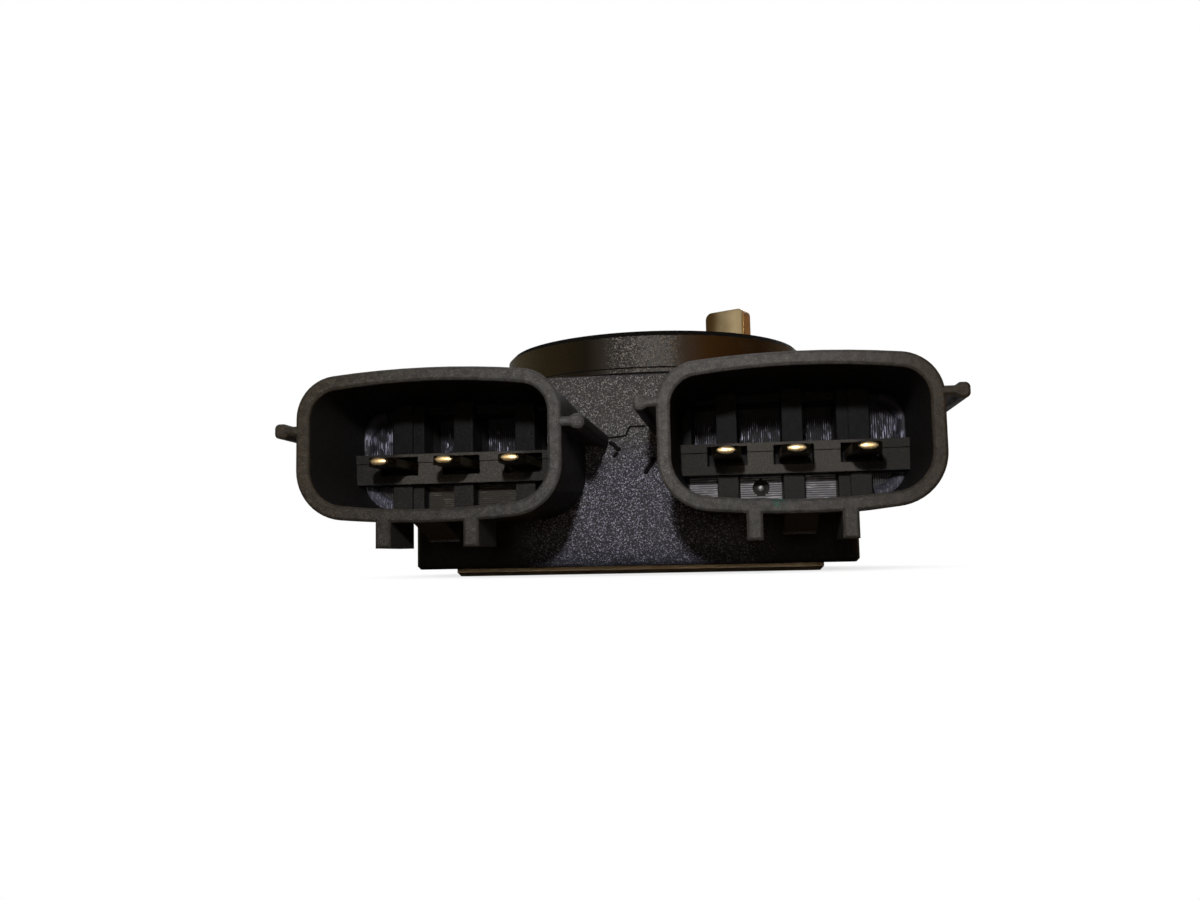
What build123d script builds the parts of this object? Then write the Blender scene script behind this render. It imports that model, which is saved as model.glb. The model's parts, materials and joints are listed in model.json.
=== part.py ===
"""Throttle position sensor with two three-way connectors and a spring-returned drive lever.

Millimetres. The origin is on the rotor axis, in the bottom face of the cover.
+Z runs along the rotor towards the pilot boss, and -Y points out of the connectors.
"""

import os

from build123d import *

os.makedirs("parts", exist_ok=True)

# Body of the housing
body_width = 39.2
body_height = 17.0
body_front = 16.0
body_back = 17.0
body_centre_x = -1.1
body_front_corner = 1.0
body_back_corner = 9.0
body_edge_bevel = 0.3
inner_corner = 1.5

# Pilot boss and the cup inside it
boss_radius = 15.0
boss_height = 4.1
boss_edge_bevel = 0.5
collar_step = 0.3
collar_height = 0.6
cup_radius = 12.7
cup_depth = 9.5
cup_edge_bevel = 0.3
web_thickness = 2.0

# Mounting ears and the sleeves in them
ear_spacing = 46.0
ear_radius = 5.3
ear_thickness = 7.0
ear_root_width = 15.0
ear_root_depth = 4.0
sleeve_bore_radius = 2.75
sleeve_wall = 0.8

# Connector shrouds
connector_spacing = 28.2
connector_height = 9.7
mouth_reach = 30.6
mouth_width = 21.0
mouth_height = 12.0
mouth_crown = 0.75
mouth_top_corner = 3.3
mouth_bottom_corner = 4.0
mouth_wall = 1.05
mouth_edge_bevel = 0.18
neck_draft = 1.4
neck_embed = 3.0
cavity_depth = 12.8
cavity_draft = 0.8

# Keying fins on the sides of the shrouds, at a height of its own on each
fin_reach = 1.75
fin_stem = 0.7
fin_tip = 1.15
fin_tip_length = 0.75
fin_tip_round = 0.38
fin_height_left = 1.4
fin_height_right = 2.6

# Latch under each shroud: two guide ribs and a catch ramp between them
latch_rib_spacing = 6.9
latch_rib_width = 1.2
latch_rib_drop = 1.9
latch_rib_length = 6.0
catch_width = 2.5
catch_drop = 1.4
catch_setback = 0.8
catch_length = 4.9
catch_lip = 0.2
catch_land = 0.7

# Floor of the shroud's cavity, with heights from the shroud's centre
shelf_stand_off = 2.7
shelf_top = 0.3
shelf_bottom = -2.3
shelf_lip = 0.75
shelf_lip_step = 0.15
rib_width = 1.7
rib_stand_off = 1.7
rib_embed = 0.25
key_rib_width = 0.95
key_rib_stand_off = 1.3
core_height = 3.7
core_depth = 4.0
outer_core_width = 2.2
pocket_width = 3.3
pocket_height = 1.6
pocket_depth = 2.5
ejector_radius = 0.72
ejector_depth = 0.9
ejector_drop = 3.3

# Terminals
terminal_pitch = 5.45
terminal_height = -0.75
terminal_setback = 4.7
terminal_thickness = 0.64
blade_width = 2.3
tip_width = 1.4
tip_length = 1.1
tip_bevel = 0.2
lead_width = 1.2
lead_start = 0.5
lead_run = 4.0
tail_pitch = 2.8
tail_margin = 1.0
tail_inset = 0.9
tail_protrusion = 0.8
tail_bend = 0.5

# Cover, its seal and the chamber that it closes
cover_thickness = 1.6
cover_stand_off = 0.7
cover_margin = 2.7
cover_clearance = 0.1
cover_bevel = 0.35
seal_margin = 0.4
seal_width = 0.9
seal_height = 0.6
pocket_margin = 1.7
ledge_width = 1.0

# Track board
board_thickness = 1.0
board_ledge = 2.6
board_clearance = 0.1
tail_clearance = 0.15

# Bearing, shaft and what holds the shaft
shaft_radius = 3.0
shaft_clearance = 0.03
press_clearance = 0.02
axial_play = 0.08
bush_wall = 1.1
bush_flange_radius = 5.0
bush_flange = 0.6
bush_overhang = 0.8
tower_wall = 1.2
washer_radius = 5.0
washer_thickness = 0.5
clip_radius = 5.2
clip_thickness = 0.6
clip_opening = 4.0
groove_depth = 0.7
shaft_flat = 2.2
tenon_radius = 2.6
tenon_width = 3.8
rivet_radius = 3.2
rivet_height = 0.6
rivet_bevel = 0.3

# Wiper carrier and its two brushes
carrier_radius = 9.0
carrier_thickness = 2.2
carrier_gap = 0.6
carrier_bevel = 0.4
brush_thickness = 0.2
brush_gap = 0.05
brush_inner_radius = 4.6
brush_width = 3.0
brush_slot = 0.4
brush_fingers = 3
brush_root = 2.4
brush_reach = 4.2
brush_toe = 0.6
stake_radius = 0.5
stake_head = 0.2

# Return spring
spring_wire = 0.8
spring_wire_sides = 8
spring_turns = 2.25
spring_coil_gap = 0.1
spring_seat_gap = 0.3
spring_tower_gap = 0.7
spring_leg = 5.5
spring_leg_gap = 0.06
spring_lead_angle = 10.0

# Drive lever with its upright tang
tang_azimuth = -29.0
tang_clearance = 1.65
tang_width = 4.3
tang_rise = 3.7
tang_corner = 0.7
lever_thickness = 1.3
lever_gap = 0.35
lever_bend = 0.8
lever_arm_width = 5.4
lever_hub_radius = 5.6
lug_width = 1.6
lug_length = 2.0
lug_depth = 1.15

# Stops for the lever in the cup
lever_travel = 95.0
stop_gap = 0.15
stop_length = 3.2
stop_width = 2.2
stop_height = 2.0

# Heights and places that follow from the sizes above
body_bottom = cover_stand_off
body_top = body_bottom + body_height
rim = body_top + boss_height
cup_floor = rim - cup_depth
web_bottom = cup_floor - web_thickness
boss_wall = boss_radius - cup_radius
connector_z = body_bottom + connector_height
neck_length = mouth_reach - body_front
terminal_z = connector_z + terminal_height
bush_radius = shaft_radius + shaft_clearance + bush_wall
tower_radius = bush_radius + tower_wall
spring_pitch = spring_wire + spring_coil_gap
spring_radius = tower_radius + spring_tower_gap + spring_wire / 2
spring_start = cup_floor + spring_seat_gap + spring_wire / 2
spring_rise = spring_pitch * spring_turns
spring_angle = -spring_lead_angle - 360 * spring_turns
spring_side = spring_radius + spring_wire / 2 + spring_leg_gap
lever_bottom = spring_start + spring_rise + spring_wire / 2 + lever_gap
lever_top = lever_bottom + lever_thickness
lever_edge = lever_arm_width - lever_thickness / 2
tang_outer = cup_radius - tang_clearance
tang_inner = tang_outer - tang_width
tang_height = rim + tang_rise - lever_bottom
bush_top = lever_bottom - axial_play
tower_top = bush_top - bush_flange
bush_bottom = web_bottom - bush_overhang
washer_bottom = bush_bottom - axial_play - washer_thickness
clip_bottom = washer_bottom - axial_play - clip_thickness
carrier_top = clip_bottom - carrier_gap
carrier_bottom = carrier_top - carrier_thickness
board_top = cover_thickness + board_ledge
board_bottom = board_top - board_thickness
seal_inset = cover_margin + seal_margin
board_inset = cover_margin + pocket_margin
chamber_inset = board_inset + ledge_width
tail_y = chamber_inset + tail_inset - body_front
tail_outermost = body_width / 2 - chamber_inset - tail_margin - lead_width / 2
tail_centre = tail_outermost - tail_pitch
sleeve_radius = sleeve_bore_radius + sleeve_wall
ear_bottom = body_top - ear_thickness
brush_radius = brush_inner_radius + brush_width / 2

SIDES = {"left": -1, "right": 1}
FIN_HEIGHTS = {"left": fin_height_left, "right": fin_height_right}
TERMINAL_STEPS = (-1, 0, 1)
BRUSHES = {"sensor_brush": 90, "switch_brush": 270}
UPWARDS = (Align.CENTER, Align.CENTER, Align.MIN)


def connector_x(side):
    """X of a connector's centre line."""
    return body_centre_x + SIDES[side] * connector_spacing / 2


def tail_x(side, step):
    """X of a terminal's tail in the board."""
    return body_centre_x + SIDES[side] * tail_centre + step * tail_pitch


def mouth_plane(side, depth=0.0):
    """Plane across a connector at a depth from its mouth, seen from inside: x runs to -X, y up."""
    centre = (connector_x(side), depth - mouth_reach, connector_z)
    return Plane(origin=centre, x_dir=(-1, 0, 0), z_dir=(0, 1, 0))


def lever_plane(height, turn=0.0):
    """Level plane at a height, with x along the tang at rest, turned on by an angle."""
    return Plane.XY.rotated((0, 0, tang_azimuth + turn)).offset(height)


def body_plan(inset=0.0):
    """Plan of the body, drawn in by inset all round."""
    with BuildSketch() as plan:
        with Locations((body_centre_x, (body_back - body_front) / 2)):
            Rectangle(body_width - 2 * inset, body_front + body_back - 2 * inset)
        fillet(plan.vertices().group_by(Axis.Y)[-1], max(body_back_corner - inset, inner_corner))
        fillet(plan.vertices().group_by(Axis.Y)[0], body_front_corner if inset == 0 else inner_corner)
    return plan.sketch


def ring_plan(inset, width):
    """Band of a given width that follows the body's plan."""
    with BuildSketch() as ring:
        add(body_plan(inset))
        add(body_plan(inset + width), mode=Mode.SUBTRACT)
    return ring.sketch


def mouth_outline(inset=0.0):
    """Rounded outline of a shroud's mouth with a crowned top and bottom, drawn in by inset."""
    half_width = mouth_width / 2 - inset
    half_height = mouth_height / 2 - inset
    shoulder = half_height - mouth_crown
    with BuildSketch() as outline:
        with BuildLine():
            Line((-half_width, -shoulder), (-half_width, shoulder))
            ThreePointArc((-half_width, shoulder), (0, half_height), (half_width, shoulder))
            Line((half_width, shoulder), (half_width, -shoulder))
            ThreePointArc((half_width, -shoulder), (0, -half_height), (-half_width, -shoulder))
        make_face()
        fillet(outline.vertices().group_by(Axis.Y)[-1], mouth_top_corner - inset)
        fillet(outline.vertices().group_by(Axis.Y)[0], mouth_bottom_corner - inset)
    return outline.sketch


def fin_section(height):
    """Section of a shroud's two fins: thin stems with a thicker rounded edge."""
    root = (mouth_width - mouth_wall) / 2
    edge = mouth_width / 2 + fin_reach
    swell = edge - fin_tip_length
    with BuildSketch() as section:
        with BuildLine():
            Polyline(
                (root, height - fin_stem / 2),
                (swell - fin_stem / 2, height - fin_stem / 2),
                (swell, height - fin_tip / 2),
                (edge, height - fin_tip / 2),
                (edge, height + fin_tip / 2),
                (swell, height + fin_tip / 2),
                (swell - fin_stem / 2, height + fin_stem / 2),
                (root, height + fin_stem / 2),
                close=True,
            )
        make_face()
        fillet(section.vertices().group_by(Axis.X)[-1], fin_tip_round)
        mirror(about=Plane.YZ)
    return section.sketch


def shaft_section(clearance=0.0):
    """Section of the shaft's lower end, a circle with one flat."""
    with BuildSketch() as section:
        Circle(shaft_radius + clearance)
        with Locations((0, shaft_flat + clearance)):
            Rectangle(
                2 * shaft_radius,
                shaft_radius,
                align=(Align.CENTER, Align.MIN),
                mode=Mode.SUBTRACT,
            )
    return section.sketch


def tenon_section(clearance=0.0):
    """Section of the shaft's upper end, a circle with two flats."""
    with BuildSketch() as section:
        Circle(tenon_radius + clearance)
        Rectangle(tenon_width + 2 * clearance, 2 * shaft_radius, mode=Mode.INTERSECT)
    return section.sketch


# Terminals: a blade in the connector, a lead through the wall and a tail bent down to the board
terminals = []
for side in SIDES:
    for number, step in enumerate(TERMINAL_STEPS, start=1):
        blade_x = connector_x(side) + step * terminal_pitch
        lead_x = tail_x(side, step)
        tip_y = terminal_setback - mouth_reach
        blade_end = cavity_depth + lead_start - mouth_reach
        lead_end = blade_end + lead_run
        tail_bottom = board_bottom - tail_protrusion
        tail_length = terminal_z + terminal_thickness / 2 - tail_bottom
        with BuildPart() as terminal:
            with BuildSketch(Plane.XY.offset(terminal_z - terminal_thickness / 2)):
                with BuildLine():
                    Polyline(
                        (blade_x - tip_width / 2, tip_y),
                        (blade_x + tip_width / 2, tip_y),
                        (blade_x + blade_width / 2, tip_y + tip_length),
                        (blade_x + blade_width / 2, blade_end),
                        (lead_x + lead_width / 2, lead_end),
                        (lead_x + lead_width / 2, tail_y),
                        (lead_x - lead_width / 2, tail_y),
                        (lead_x - lead_width / 2, lead_end),
                        (blade_x - blade_width / 2, blade_end),
                        (blade_x - blade_width / 2, tip_y + tip_length),
                        close=True,
                    )
                make_face()
            extrude(amount=terminal_thickness)
            chamfer(terminal.faces().sort_by(Axis.Y)[0].edges().filter_by(Axis.X), tip_bevel)
            with Locations((lead_x, tail_y, tail_bottom)):
                Box(
                    lead_width,
                    terminal_thickness,
                    tail_length,
                    align=(Align.CENTER, Align.MAX, Align.MIN),
                )
            crease = terminal.edges().filter_by(Axis.X).group_by(Axis.Z)[-1].sort_by(Axis.Y)[-1]
            fillet(crease, tail_bend)
        terminal.part.label = f"terminal_{side}_{number}"
        export_step(terminal.part, f"parts/{terminal.part.label}.step")
        terminals.append(terminal.part)

# Housing: body, ears, pilot boss and both connector shrouds in one moulding
with BuildPart() as housing:
    with BuildSketch(Plane.XY.offset(body_bottom)):
        add(body_plan())
    extrude(amount=body_height)
    chamfer(housing.edges().group_by(Axis.Z)[-1], body_edge_bevel)
    chamfer(housing.edges().group_by(Axis.Z)[0], body_edge_bevel)

    # Ears, flush with the mating face
    for side, outwards in SIDES.items():
        ear_root = body_centre_x + outwards * (body_width - ear_root_depth) / 2
        with BuildSketch(Plane.XY.offset(ear_bottom)):
            with Locations((outwards * ear_spacing / 2, 0)):
                Circle(ear_radius)
            with Locations((ear_root, 0)):
                Rectangle(ear_root_depth, ear_root_width)
            make_hull()
        extrude(amount=ear_thickness)

    # Pilot boss on its collar
    with BuildSketch(Plane.XY.offset(body_top)):
        Circle(boss_radius + collar_step)
    extrude(amount=collar_height)
    with BuildSketch(Plane.XY.offset(body_top)):
        Circle(boss_radius)
    extrude(amount=boss_height)
    chamfer(housing.edges().group_by(Axis.Z)[-1], boss_edge_bevel)

    for side, outwards in SIDES.items():
        # Tapered neck of the shroud with its fins and guide ribs
        with BuildSketch(mouth_plane(side)):
            add(mouth_outline())
        extrude(amount=neck_length + neck_embed, taper=neck_draft)
        with BuildSketch(mouth_plane(side)):
            add(fin_section(FIN_HEIGHTS[side]))
        extrude(amount=neck_length)
        with BuildSketch(mouth_plane(side)):
            with Locations((0, (mouth_wall - mouth_height) / 2)):
                with GridLocations(latch_rib_spacing, 0, 2, 1):
                    Rectangle(
                        latch_rib_width,
                        latch_rib_drop + mouth_wall / 2,
                        align=(Align.CENTER, Align.MAX),
                    )
        extrude(amount=latch_rib_length)

        # Catch: a long ramp with a small lip at its end
        catch_front = catch_setback - mouth_reach
        catch_end = catch_front + catch_length
        neck_bottom = connector_z - mouth_height / 2
        with BuildSketch(Plane.YZ.offset(connector_x(side))):
            with BuildLine():
                Polyline(
                    (catch_front, neck_bottom + mouth_wall / 2),
                    (catch_front, neck_bottom),
                    (catch_end - catch_land, neck_bottom + catch_lip - catch_drop),
                    (catch_end - catch_land, neck_bottom - catch_drop),
                    (catch_end, neck_bottom - catch_drop),
                    (catch_end, neck_bottom + mouth_wall / 2),
                    close=True,
                )
            make_face()
        extrude(amount=catch_width / 2, both=True)

        # Cavity and the shelf and ribs on its floor
        with BuildSketch(mouth_plane(side)):
            add(mouth_outline(mouth_wall))
        extrude(amount=cavity_depth, taper=cavity_draft, mode=Mode.SUBTRACT)
        shelf_width = mouth_width - mouth_wall
        with BuildSketch(mouth_plane(side, cavity_depth)):
            with Locations((0, shelf_bottom)):
                Rectangle(
                    shelf_width,
                    shelf_top - shelf_bottom,
                    align=(Align.CENTER, Align.MIN),
                )
        extrude(amount=shelf_lip_step - shelf_stand_off)
        with BuildSketch(mouth_plane(side, cavity_depth)):
            with Locations((0, shelf_top)):
                Rectangle(shelf_width, shelf_lip, align=(Align.CENTER, Align.MAX))
        extrude(amount=-shelf_stand_off)
        rib_height = mouth_height - 2 * (mouth_wall - rib_embed)
        with BuildSketch(mouth_plane(side, cavity_depth)):
            with GridLocations(terminal_pitch, 0, len(TERMINAL_STEPS), 1):
                Rectangle(rib_width, rib_height)
        extrude(amount=-rib_stand_off)
        key_rib_x = terminal_pitch - (rib_width + key_rib_width) / 2
        with BuildSketch(mouth_plane(side, cavity_depth)):
            with Locations((-outwards * key_rib_x, 0)):
                Rectangle(key_rib_width, rib_height)
        extrude(amount=-key_rib_stand_off)
        with BuildSketch(mouth_plane(side, cavity_depth - shelf_stand_off)):
            with Locations((0, terminal_height)):
                with GridLocations(terminal_pitch, 0, len(TERMINAL_STEPS), 1):
                    Rectangle(pocket_width, pocket_height)
        extrude(amount=pocket_depth, mode=Mode.SUBTRACT)

        # Deep cores above the shelf, on every panel but the one outside the key rib
        inner_core_width = terminal_pitch - rib_width
        keyed_core_width = inner_core_width - key_rib_width
        with BuildSketch(mouth_plane(side, cavity_depth)):
            for core_x, core_width in (
                (-(rib_width + keyed_core_width) / 2, keyed_core_width),
                (terminal_pitch / 2, inner_core_width),
                (terminal_pitch + (rib_width + outer_core_width) / 2, outer_core_width),
            ):
                with Locations((outwards * core_x, shelf_top)):
                    Rectangle(core_width, core_height, align=(Align.CENTER, Align.MIN))
        extrude(amount=core_depth, mode=Mode.SUBTRACT)

    # Round ejector mark in the right cavity
    with BuildSketch(mouth_plane("right", cavity_depth)):
        with Locations((terminal_pitch / 2, -ejector_drop)):
            Circle(ejector_radius)
    extrude(amount=ejector_depth, mode=Mode.SUBTRACT)

    # Bevelled rims of the mouths
    mouth_faces = housing.faces().filter_by(Axis.Y).group_by(Axis.Y)[0]
    chamfer(mouth_faces.edges(), mouth_edge_bevel)

    # Cup in the boss, with the bearing tower, the lever's stops and the spring's post
    with BuildSketch(Plane.XY.offset(cup_floor)):
        Circle(cup_radius)
    extrude(amount=cup_depth, mode=Mode.SUBTRACT)
    rim_edges = housing.edges().filter_by(GeomType.CIRCLE).group_by(Axis.Z)[-1]
    chamfer(rim_edges.sort_by(SortBy.RADIUS)[0], cup_edge_bevel)
    with Locations((0, 0, cup_floor)):
        Cylinder(tower_radius, tower_top - cup_floor, align=UPWARDS)
    stop_span = stop_length + boss_wall / 2
    stop_x = cup_radius - stop_length
    with BuildSketch(lever_plane(cup_floor)):
        with Locations((stop_x, -lever_thickness / 2 - stop_gap)):
            Rectangle(stop_span, stop_width, align=(Align.MIN, Align.MAX))
    extrude(amount=lever_top + stop_height - cup_floor)
    with BuildSketch(lever_plane(cup_floor, lever_travel)):
        with Locations((stop_x, lever_edge + stop_gap)):
            Rectangle(stop_span, stop_width, align=(Align.MIN, Align.MIN))
    extrude(amount=lever_top - cup_floor)
    with BuildSketch(lever_plane(cup_floor, spring_angle)):
        with Locations((spring_side, -spring_leg)):
            Rectangle(lug_width, lug_length, align=(Align.MIN, Align.MIN))
    extrude(amount=spring_start + spring_wire / 2 - cup_floor)

    # Bearing seat, chamber, board ledge, seal groove and cover rebate
    with Locations((0, 0, web_bottom)):
        Cylinder(
            bush_radius + press_clearance,
            tower_top - web_bottom,
            align=UPWARDS,
            mode=Mode.SUBTRACT,
        )
    with BuildSketch(Plane.XY.offset(body_bottom)):
        add(body_plan(cover_margin))
    extrude(amount=cover_thickness - body_bottom, mode=Mode.SUBTRACT)
    with BuildSketch(Plane.XY.offset(cover_thickness)):
        add(ring_plan(seal_inset, seal_width))
    extrude(amount=seal_height, mode=Mode.SUBTRACT)
    with BuildSketch(Plane.XY.offset(cover_thickness)):
        add(body_plan(board_inset))
    extrude(amount=board_ledge, mode=Mode.SUBTRACT)
    with BuildSketch(Plane.XY.offset(board_top)):
        add(body_plan(chamber_inset))
    extrude(amount=web_bottom - board_top, mode=Mode.SUBTRACT)

    # Seats of the sleeves and of the moulded-in terminals
    with Locations((0, 0, ear_bottom)):
        with GridLocations(ear_spacing, 0, 2, 1):
            Cylinder(
                sleeve_radius + press_clearance,
                ear_thickness,
                align=UPWARDS,
                mode=Mode.SUBTRACT,
            )
    for moulded_in in terminals:
        add(moulded_in, mode=Mode.SUBTRACT)
housing.part.label = "housing"
export_step(housing.part, "parts/housing.step")

# Cover with a bevelled lower edge
with BuildPart() as cover_plate:
    with BuildSketch():
        add(body_plan(cover_margin + cover_clearance))
    extrude(amount=cover_thickness)
    chamfer(cover_plate.edges().group_by(Axis.Z)[0], cover_bevel)
cover_plate.part.label = "cover_plate"
export_step(cover_plate.part, "parts/cover_plate.step")

# Seal bead between the cover and the housing
with BuildPart() as cover_seal:
    with BuildSketch(Plane.XY.offset(cover_thickness)):
        add(ring_plan(seal_inset + press_clearance, seal_width - 2 * press_clearance))
    extrude(amount=seal_height)
cover_seal.part.label = "cover_seal"
export_step(cover_seal.part, "parts/cover_seal.step")

# Steel sleeves in the ears
for side, outwards in SIDES.items():
    with BuildPart() as sleeve:
        with BuildSketch(Plane.XY.offset(ear_bottom)):
            with Locations((outwards * ear_spacing / 2, 0)):
                Circle(sleeve_radius)
                Circle(sleeve_bore_radius, mode=Mode.SUBTRACT)
        extrude(amount=ear_thickness)
    sleeve.part.label = f"mount_sleeve_{side}"
    export_step(sleeve.part, f"parts/{sleeve.part.label}.step")

# Track board on the ledge, with a slot for each tail
with BuildPart() as track_board:
    with BuildSketch(Plane.XY.offset(board_bottom)):
        add(body_plan(board_inset + board_clearance))
        for side in SIDES:
            for step in TERMINAL_STEPS:
                with Locations((tail_x(side, step), tail_y - terminal_thickness / 2)):
                    Rectangle(
                        lead_width + 2 * tail_clearance,
                        terminal_thickness + 2 * tail_clearance,
                        mode=Mode.SUBTRACT,
                    )
    extrude(amount=board_thickness)
track_board.part.label = "track_board"
export_step(track_board.part, "parts/track_board.step")

# Flanged bearing bush in the tower
with BuildPart() as bearing_bush:
    with Locations((0, 0, bush_bottom)):
        Cylinder(bush_radius, bush_top - bush_bottom, align=UPWARDS)
    with Locations((0, 0, tower_top)):
        Cylinder(bush_flange_radius, bush_flange, align=UPWARDS)
    with Locations((0, 0, bush_bottom)):
        Cylinder(
            shaft_radius + shaft_clearance,
            bush_top - bush_bottom,
            align=UPWARDS,
            mode=Mode.SUBTRACT,
        )
bearing_bush.part.label = "bearing_bush"
export_step(bearing_bush.part, "parts/bearing_bush.step")

# Thrust washer under the bush
with BuildPart() as thrust_washer:
    with BuildSketch(Plane.XY.offset(washer_bottom)):
        Circle(washer_radius)
        Circle(shaft_radius + shaft_clearance, mode=Mode.SUBTRACT)
    extrude(amount=washer_thickness)
thrust_washer.part.label = "thrust_washer"
export_step(thrust_washer.part, "parts/thrust_washer.step")

# Retaining clip, open on one side to snap into the shaft's groove
with BuildPart() as retaining_clip:
    with BuildSketch(lever_plane(clip_bottom)):
        Circle(clip_radius)
        Circle(shaft_radius - groove_depth + press_clearance, mode=Mode.SUBTRACT)
        Rectangle(clip_radius, clip_opening, align=(Align.MIN, Align.CENTER), mode=Mode.SUBTRACT)
    extrude(amount=clip_thickness)
retaining_clip.part.label = "retaining_clip"
export_step(retaining_clip.part, "parts/retaining_clip.step")

# Rotor shaft, flatted below for the carrier and riveted over the lever above
with BuildPart() as rotor_shaft:
    with BuildSketch(lever_plane(carrier_bottom)):
        add(shaft_section())
    extrude(amount=carrier_thickness)
    with Locations((0, 0, carrier_top)):
        Cylinder(shaft_radius, lever_bottom - carrier_top, align=UPWARDS)
    with BuildSketch(Plane.XY.offset(clip_bottom - press_clearance)):
        Circle(shaft_radius + groove_depth)
        Circle(shaft_radius - groove_depth, mode=Mode.SUBTRACT)
    extrude(amount=clip_thickness + 2 * press_clearance, mode=Mode.SUBTRACT)
    with BuildSketch(lever_plane(lever_bottom)):
        add(tenon_section())
    extrude(amount=lever_thickness)
    with Locations((0, 0, lever_top)):
        Cylinder(rivet_radius, rivet_height, align=UPWARDS)
    chamfer(rotor_shaft.edges().group_by(Axis.Z)[-1], rivet_bevel)
rotor_shaft.part.label = "rotor_shaft"
export_step(rotor_shaft.part, "parts/rotor_shaft.step")

# Drive lever, stamped flat with its tang folded up from one side of the arm
with BuildPart() as drive_lever:
    flat = lever_plane(lever_bottom)
    fold = lever_thickness / 2 + lever_bend
    with BuildSketch(flat):
        with Locations((0, -lever_thickness / 2)):
            Rectangle(tang_outer, lever_arm_width, align=(Align.MIN, Align.MIN))
        Circle(lever_hub_radius)
        Circle(tang_outer, mode=Mode.INTERSECT)
        with Locations((tang_inner, fold)):
            Rectangle(tang_outer, tang_outer, align=(Align.MIN, Align.MAX), mode=Mode.SUBTRACT)
        add(tenon_section(press_clearance), mode=Mode.SUBTRACT)
    extrude(amount=lever_thickness)
    fold_start = flat.from_local_coords((tang_inner, 0, 0))
    with BuildSketch(Plane(origin=fold_start, x_dir=flat.y_dir, z_dir=flat.x_dir)) as angle:
        with BuildLine():
            Polyline(
                (-lever_thickness / 2, 0),
                (fold + lever_bend, 0),
                (fold + lever_bend, lever_thickness),
                (lever_thickness / 2, lever_thickness),
                (lever_thickness / 2, tang_height),
                (-lever_thickness / 2, tang_height),
                close=True,
            )
        make_face()
        fillet(angle.vertices().group_by(Axis.Y)[0].sort_by(Axis.X)[0], lever_bend + lever_thickness)
        fillet(angle.vertices().group_by(Axis.Y)[1].sort_by(Axis.X)[0], lever_bend)
    extrude(amount=tang_width)
    tang_end = drive_lever.faces().sort_by(Axis.Z)[-1]
    fillet(tang_end.edges().sort_by(SortBy.LENGTH)[:2], tang_corner)
    with BuildSketch(lever_plane(lever_bottom, -spring_lead_angle)):
        with Locations((spring_side, spring_leg)):
            Rectangle(lug_width, lug_length, align=(Align.MIN, Align.MAX))
    extrude(amount=-lug_depth)
drive_lever.part.label = "drive_lever"
export_step(drive_lever.part, "parts/drive_lever.step")

# Return spring: a close coil round the tower with a straight leg at each end.
# The round wire is drawn with eight sides, which keeps the long coil light.
with BuildPart() as return_spring:
    with BuildLine() as coil:
        turns = Helix(
            spring_pitch,
            spring_rise,
            spring_radius,
            center=(0, 0, spring_start),
            mode=Mode.PRIVATE,
        )
        add(turns.rotate(Axis.Z, tang_azimuth + spring_angle))
    with BuildSketch(Plane(origin=coil.line @ 0, z_dir=coil.line % 0)):
        RegularPolygon(spring_wire / 2, spring_wire_sides)
    sweep(is_frenet=True)
    for wire_end in return_spring.faces().filter_by(GeomType.PLANE):
        extrude(wire_end, amount=spring_leg)
return_spring.part.label = "return_spring"
export_step(return_spring.part, "parts/return_spring.step")

# Wiper carrier on the shaft's flat, with a stake for each brush
with BuildPart() as wiper_carrier:
    with BuildSketch(lever_plane(carrier_bottom)):
        Circle(carrier_radius)
        add(shaft_section(press_clearance), mode=Mode.SUBTRACT)
    extrude(amount=carrier_thickness)
    round_edges = wiper_carrier.edges().filter_by(GeomType.CIRCLE).group_by(Axis.Z)[-1]
    chamfer(round_edges.sort_by(SortBy.RADIUS)[-1], carrier_bevel)
    for turn in BRUSHES.values():
        with BuildSketch(lever_plane(carrier_bottom, turn)):
            with Locations((brush_radius, 0)):
                Circle(stake_radius)
        extrude(amount=-brush_thickness - stake_head)
wiper_carrier.part.label = "wiper_carrier"
export_step(wiper_carrier.part, "parts/wiper_carrier.step")

# Brushes: thin leaves with a flat root under the carrier and sprung fingers down to the board
for name, turn in BRUSHES.items():
    with BuildPart() as brush:
        level = lever_plane(carrier_bottom, turn)
        inner_side = level.from_local_coords((brush_inner_radius, 0, 0))
        toe_drop = board_top + brush_gap + brush_thickness - carrier_bottom
        heel = brush_root / 2
        knee = heel + brush_reach
        toe = knee + brush_toe
        with BuildSketch(Plane(origin=inner_side, x_dir=level.y_dir, z_dir=level.x_dir)):
            with BuildLine():
                Polyline(
                    (-heel, 0),
                    (heel, 0),
                    (knee, toe_drop),
                    (toe, toe_drop + brush_thickness),
                    (toe, toe_drop),
                    (knee, toe_drop - brush_thickness),
                    (heel, -brush_thickness),
                    (-heel, -brush_thickness),
                    close=True,
                )
            make_face()
        extrude(amount=brush_width)
        with BuildSketch(level):
            with Locations((brush_radius, heel)):
                with GridLocations(brush_width / brush_fingers, 0, brush_fingers - 1, 1):
                    Rectangle(brush_slot, toe, align=(Align.CENTER, Align.MIN))
            with Locations((brush_radius, 0)):
                Circle(stake_radius + press_clearance)
        extrude(amount=board_top - carrier_bottom, mode=Mode.SUBTRACT)
    brush.part.label = name
    export_step(brush.part, f"parts/{name}.step")
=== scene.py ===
"""Looks of a throttle position sensor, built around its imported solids.

The rotor axis is Z, the cover rests at z = 0 and the connector mouths face -Y.
Sizes in the classes are millimetres; meshes, lamps and the camera are in metres.
"""

import json
import logging
import math
from dataclasses import dataclass, field
from enum import Enum
from typing import Any, Iterable, Sequence

import bpy
from mathutils import Matrix, Vector


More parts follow.
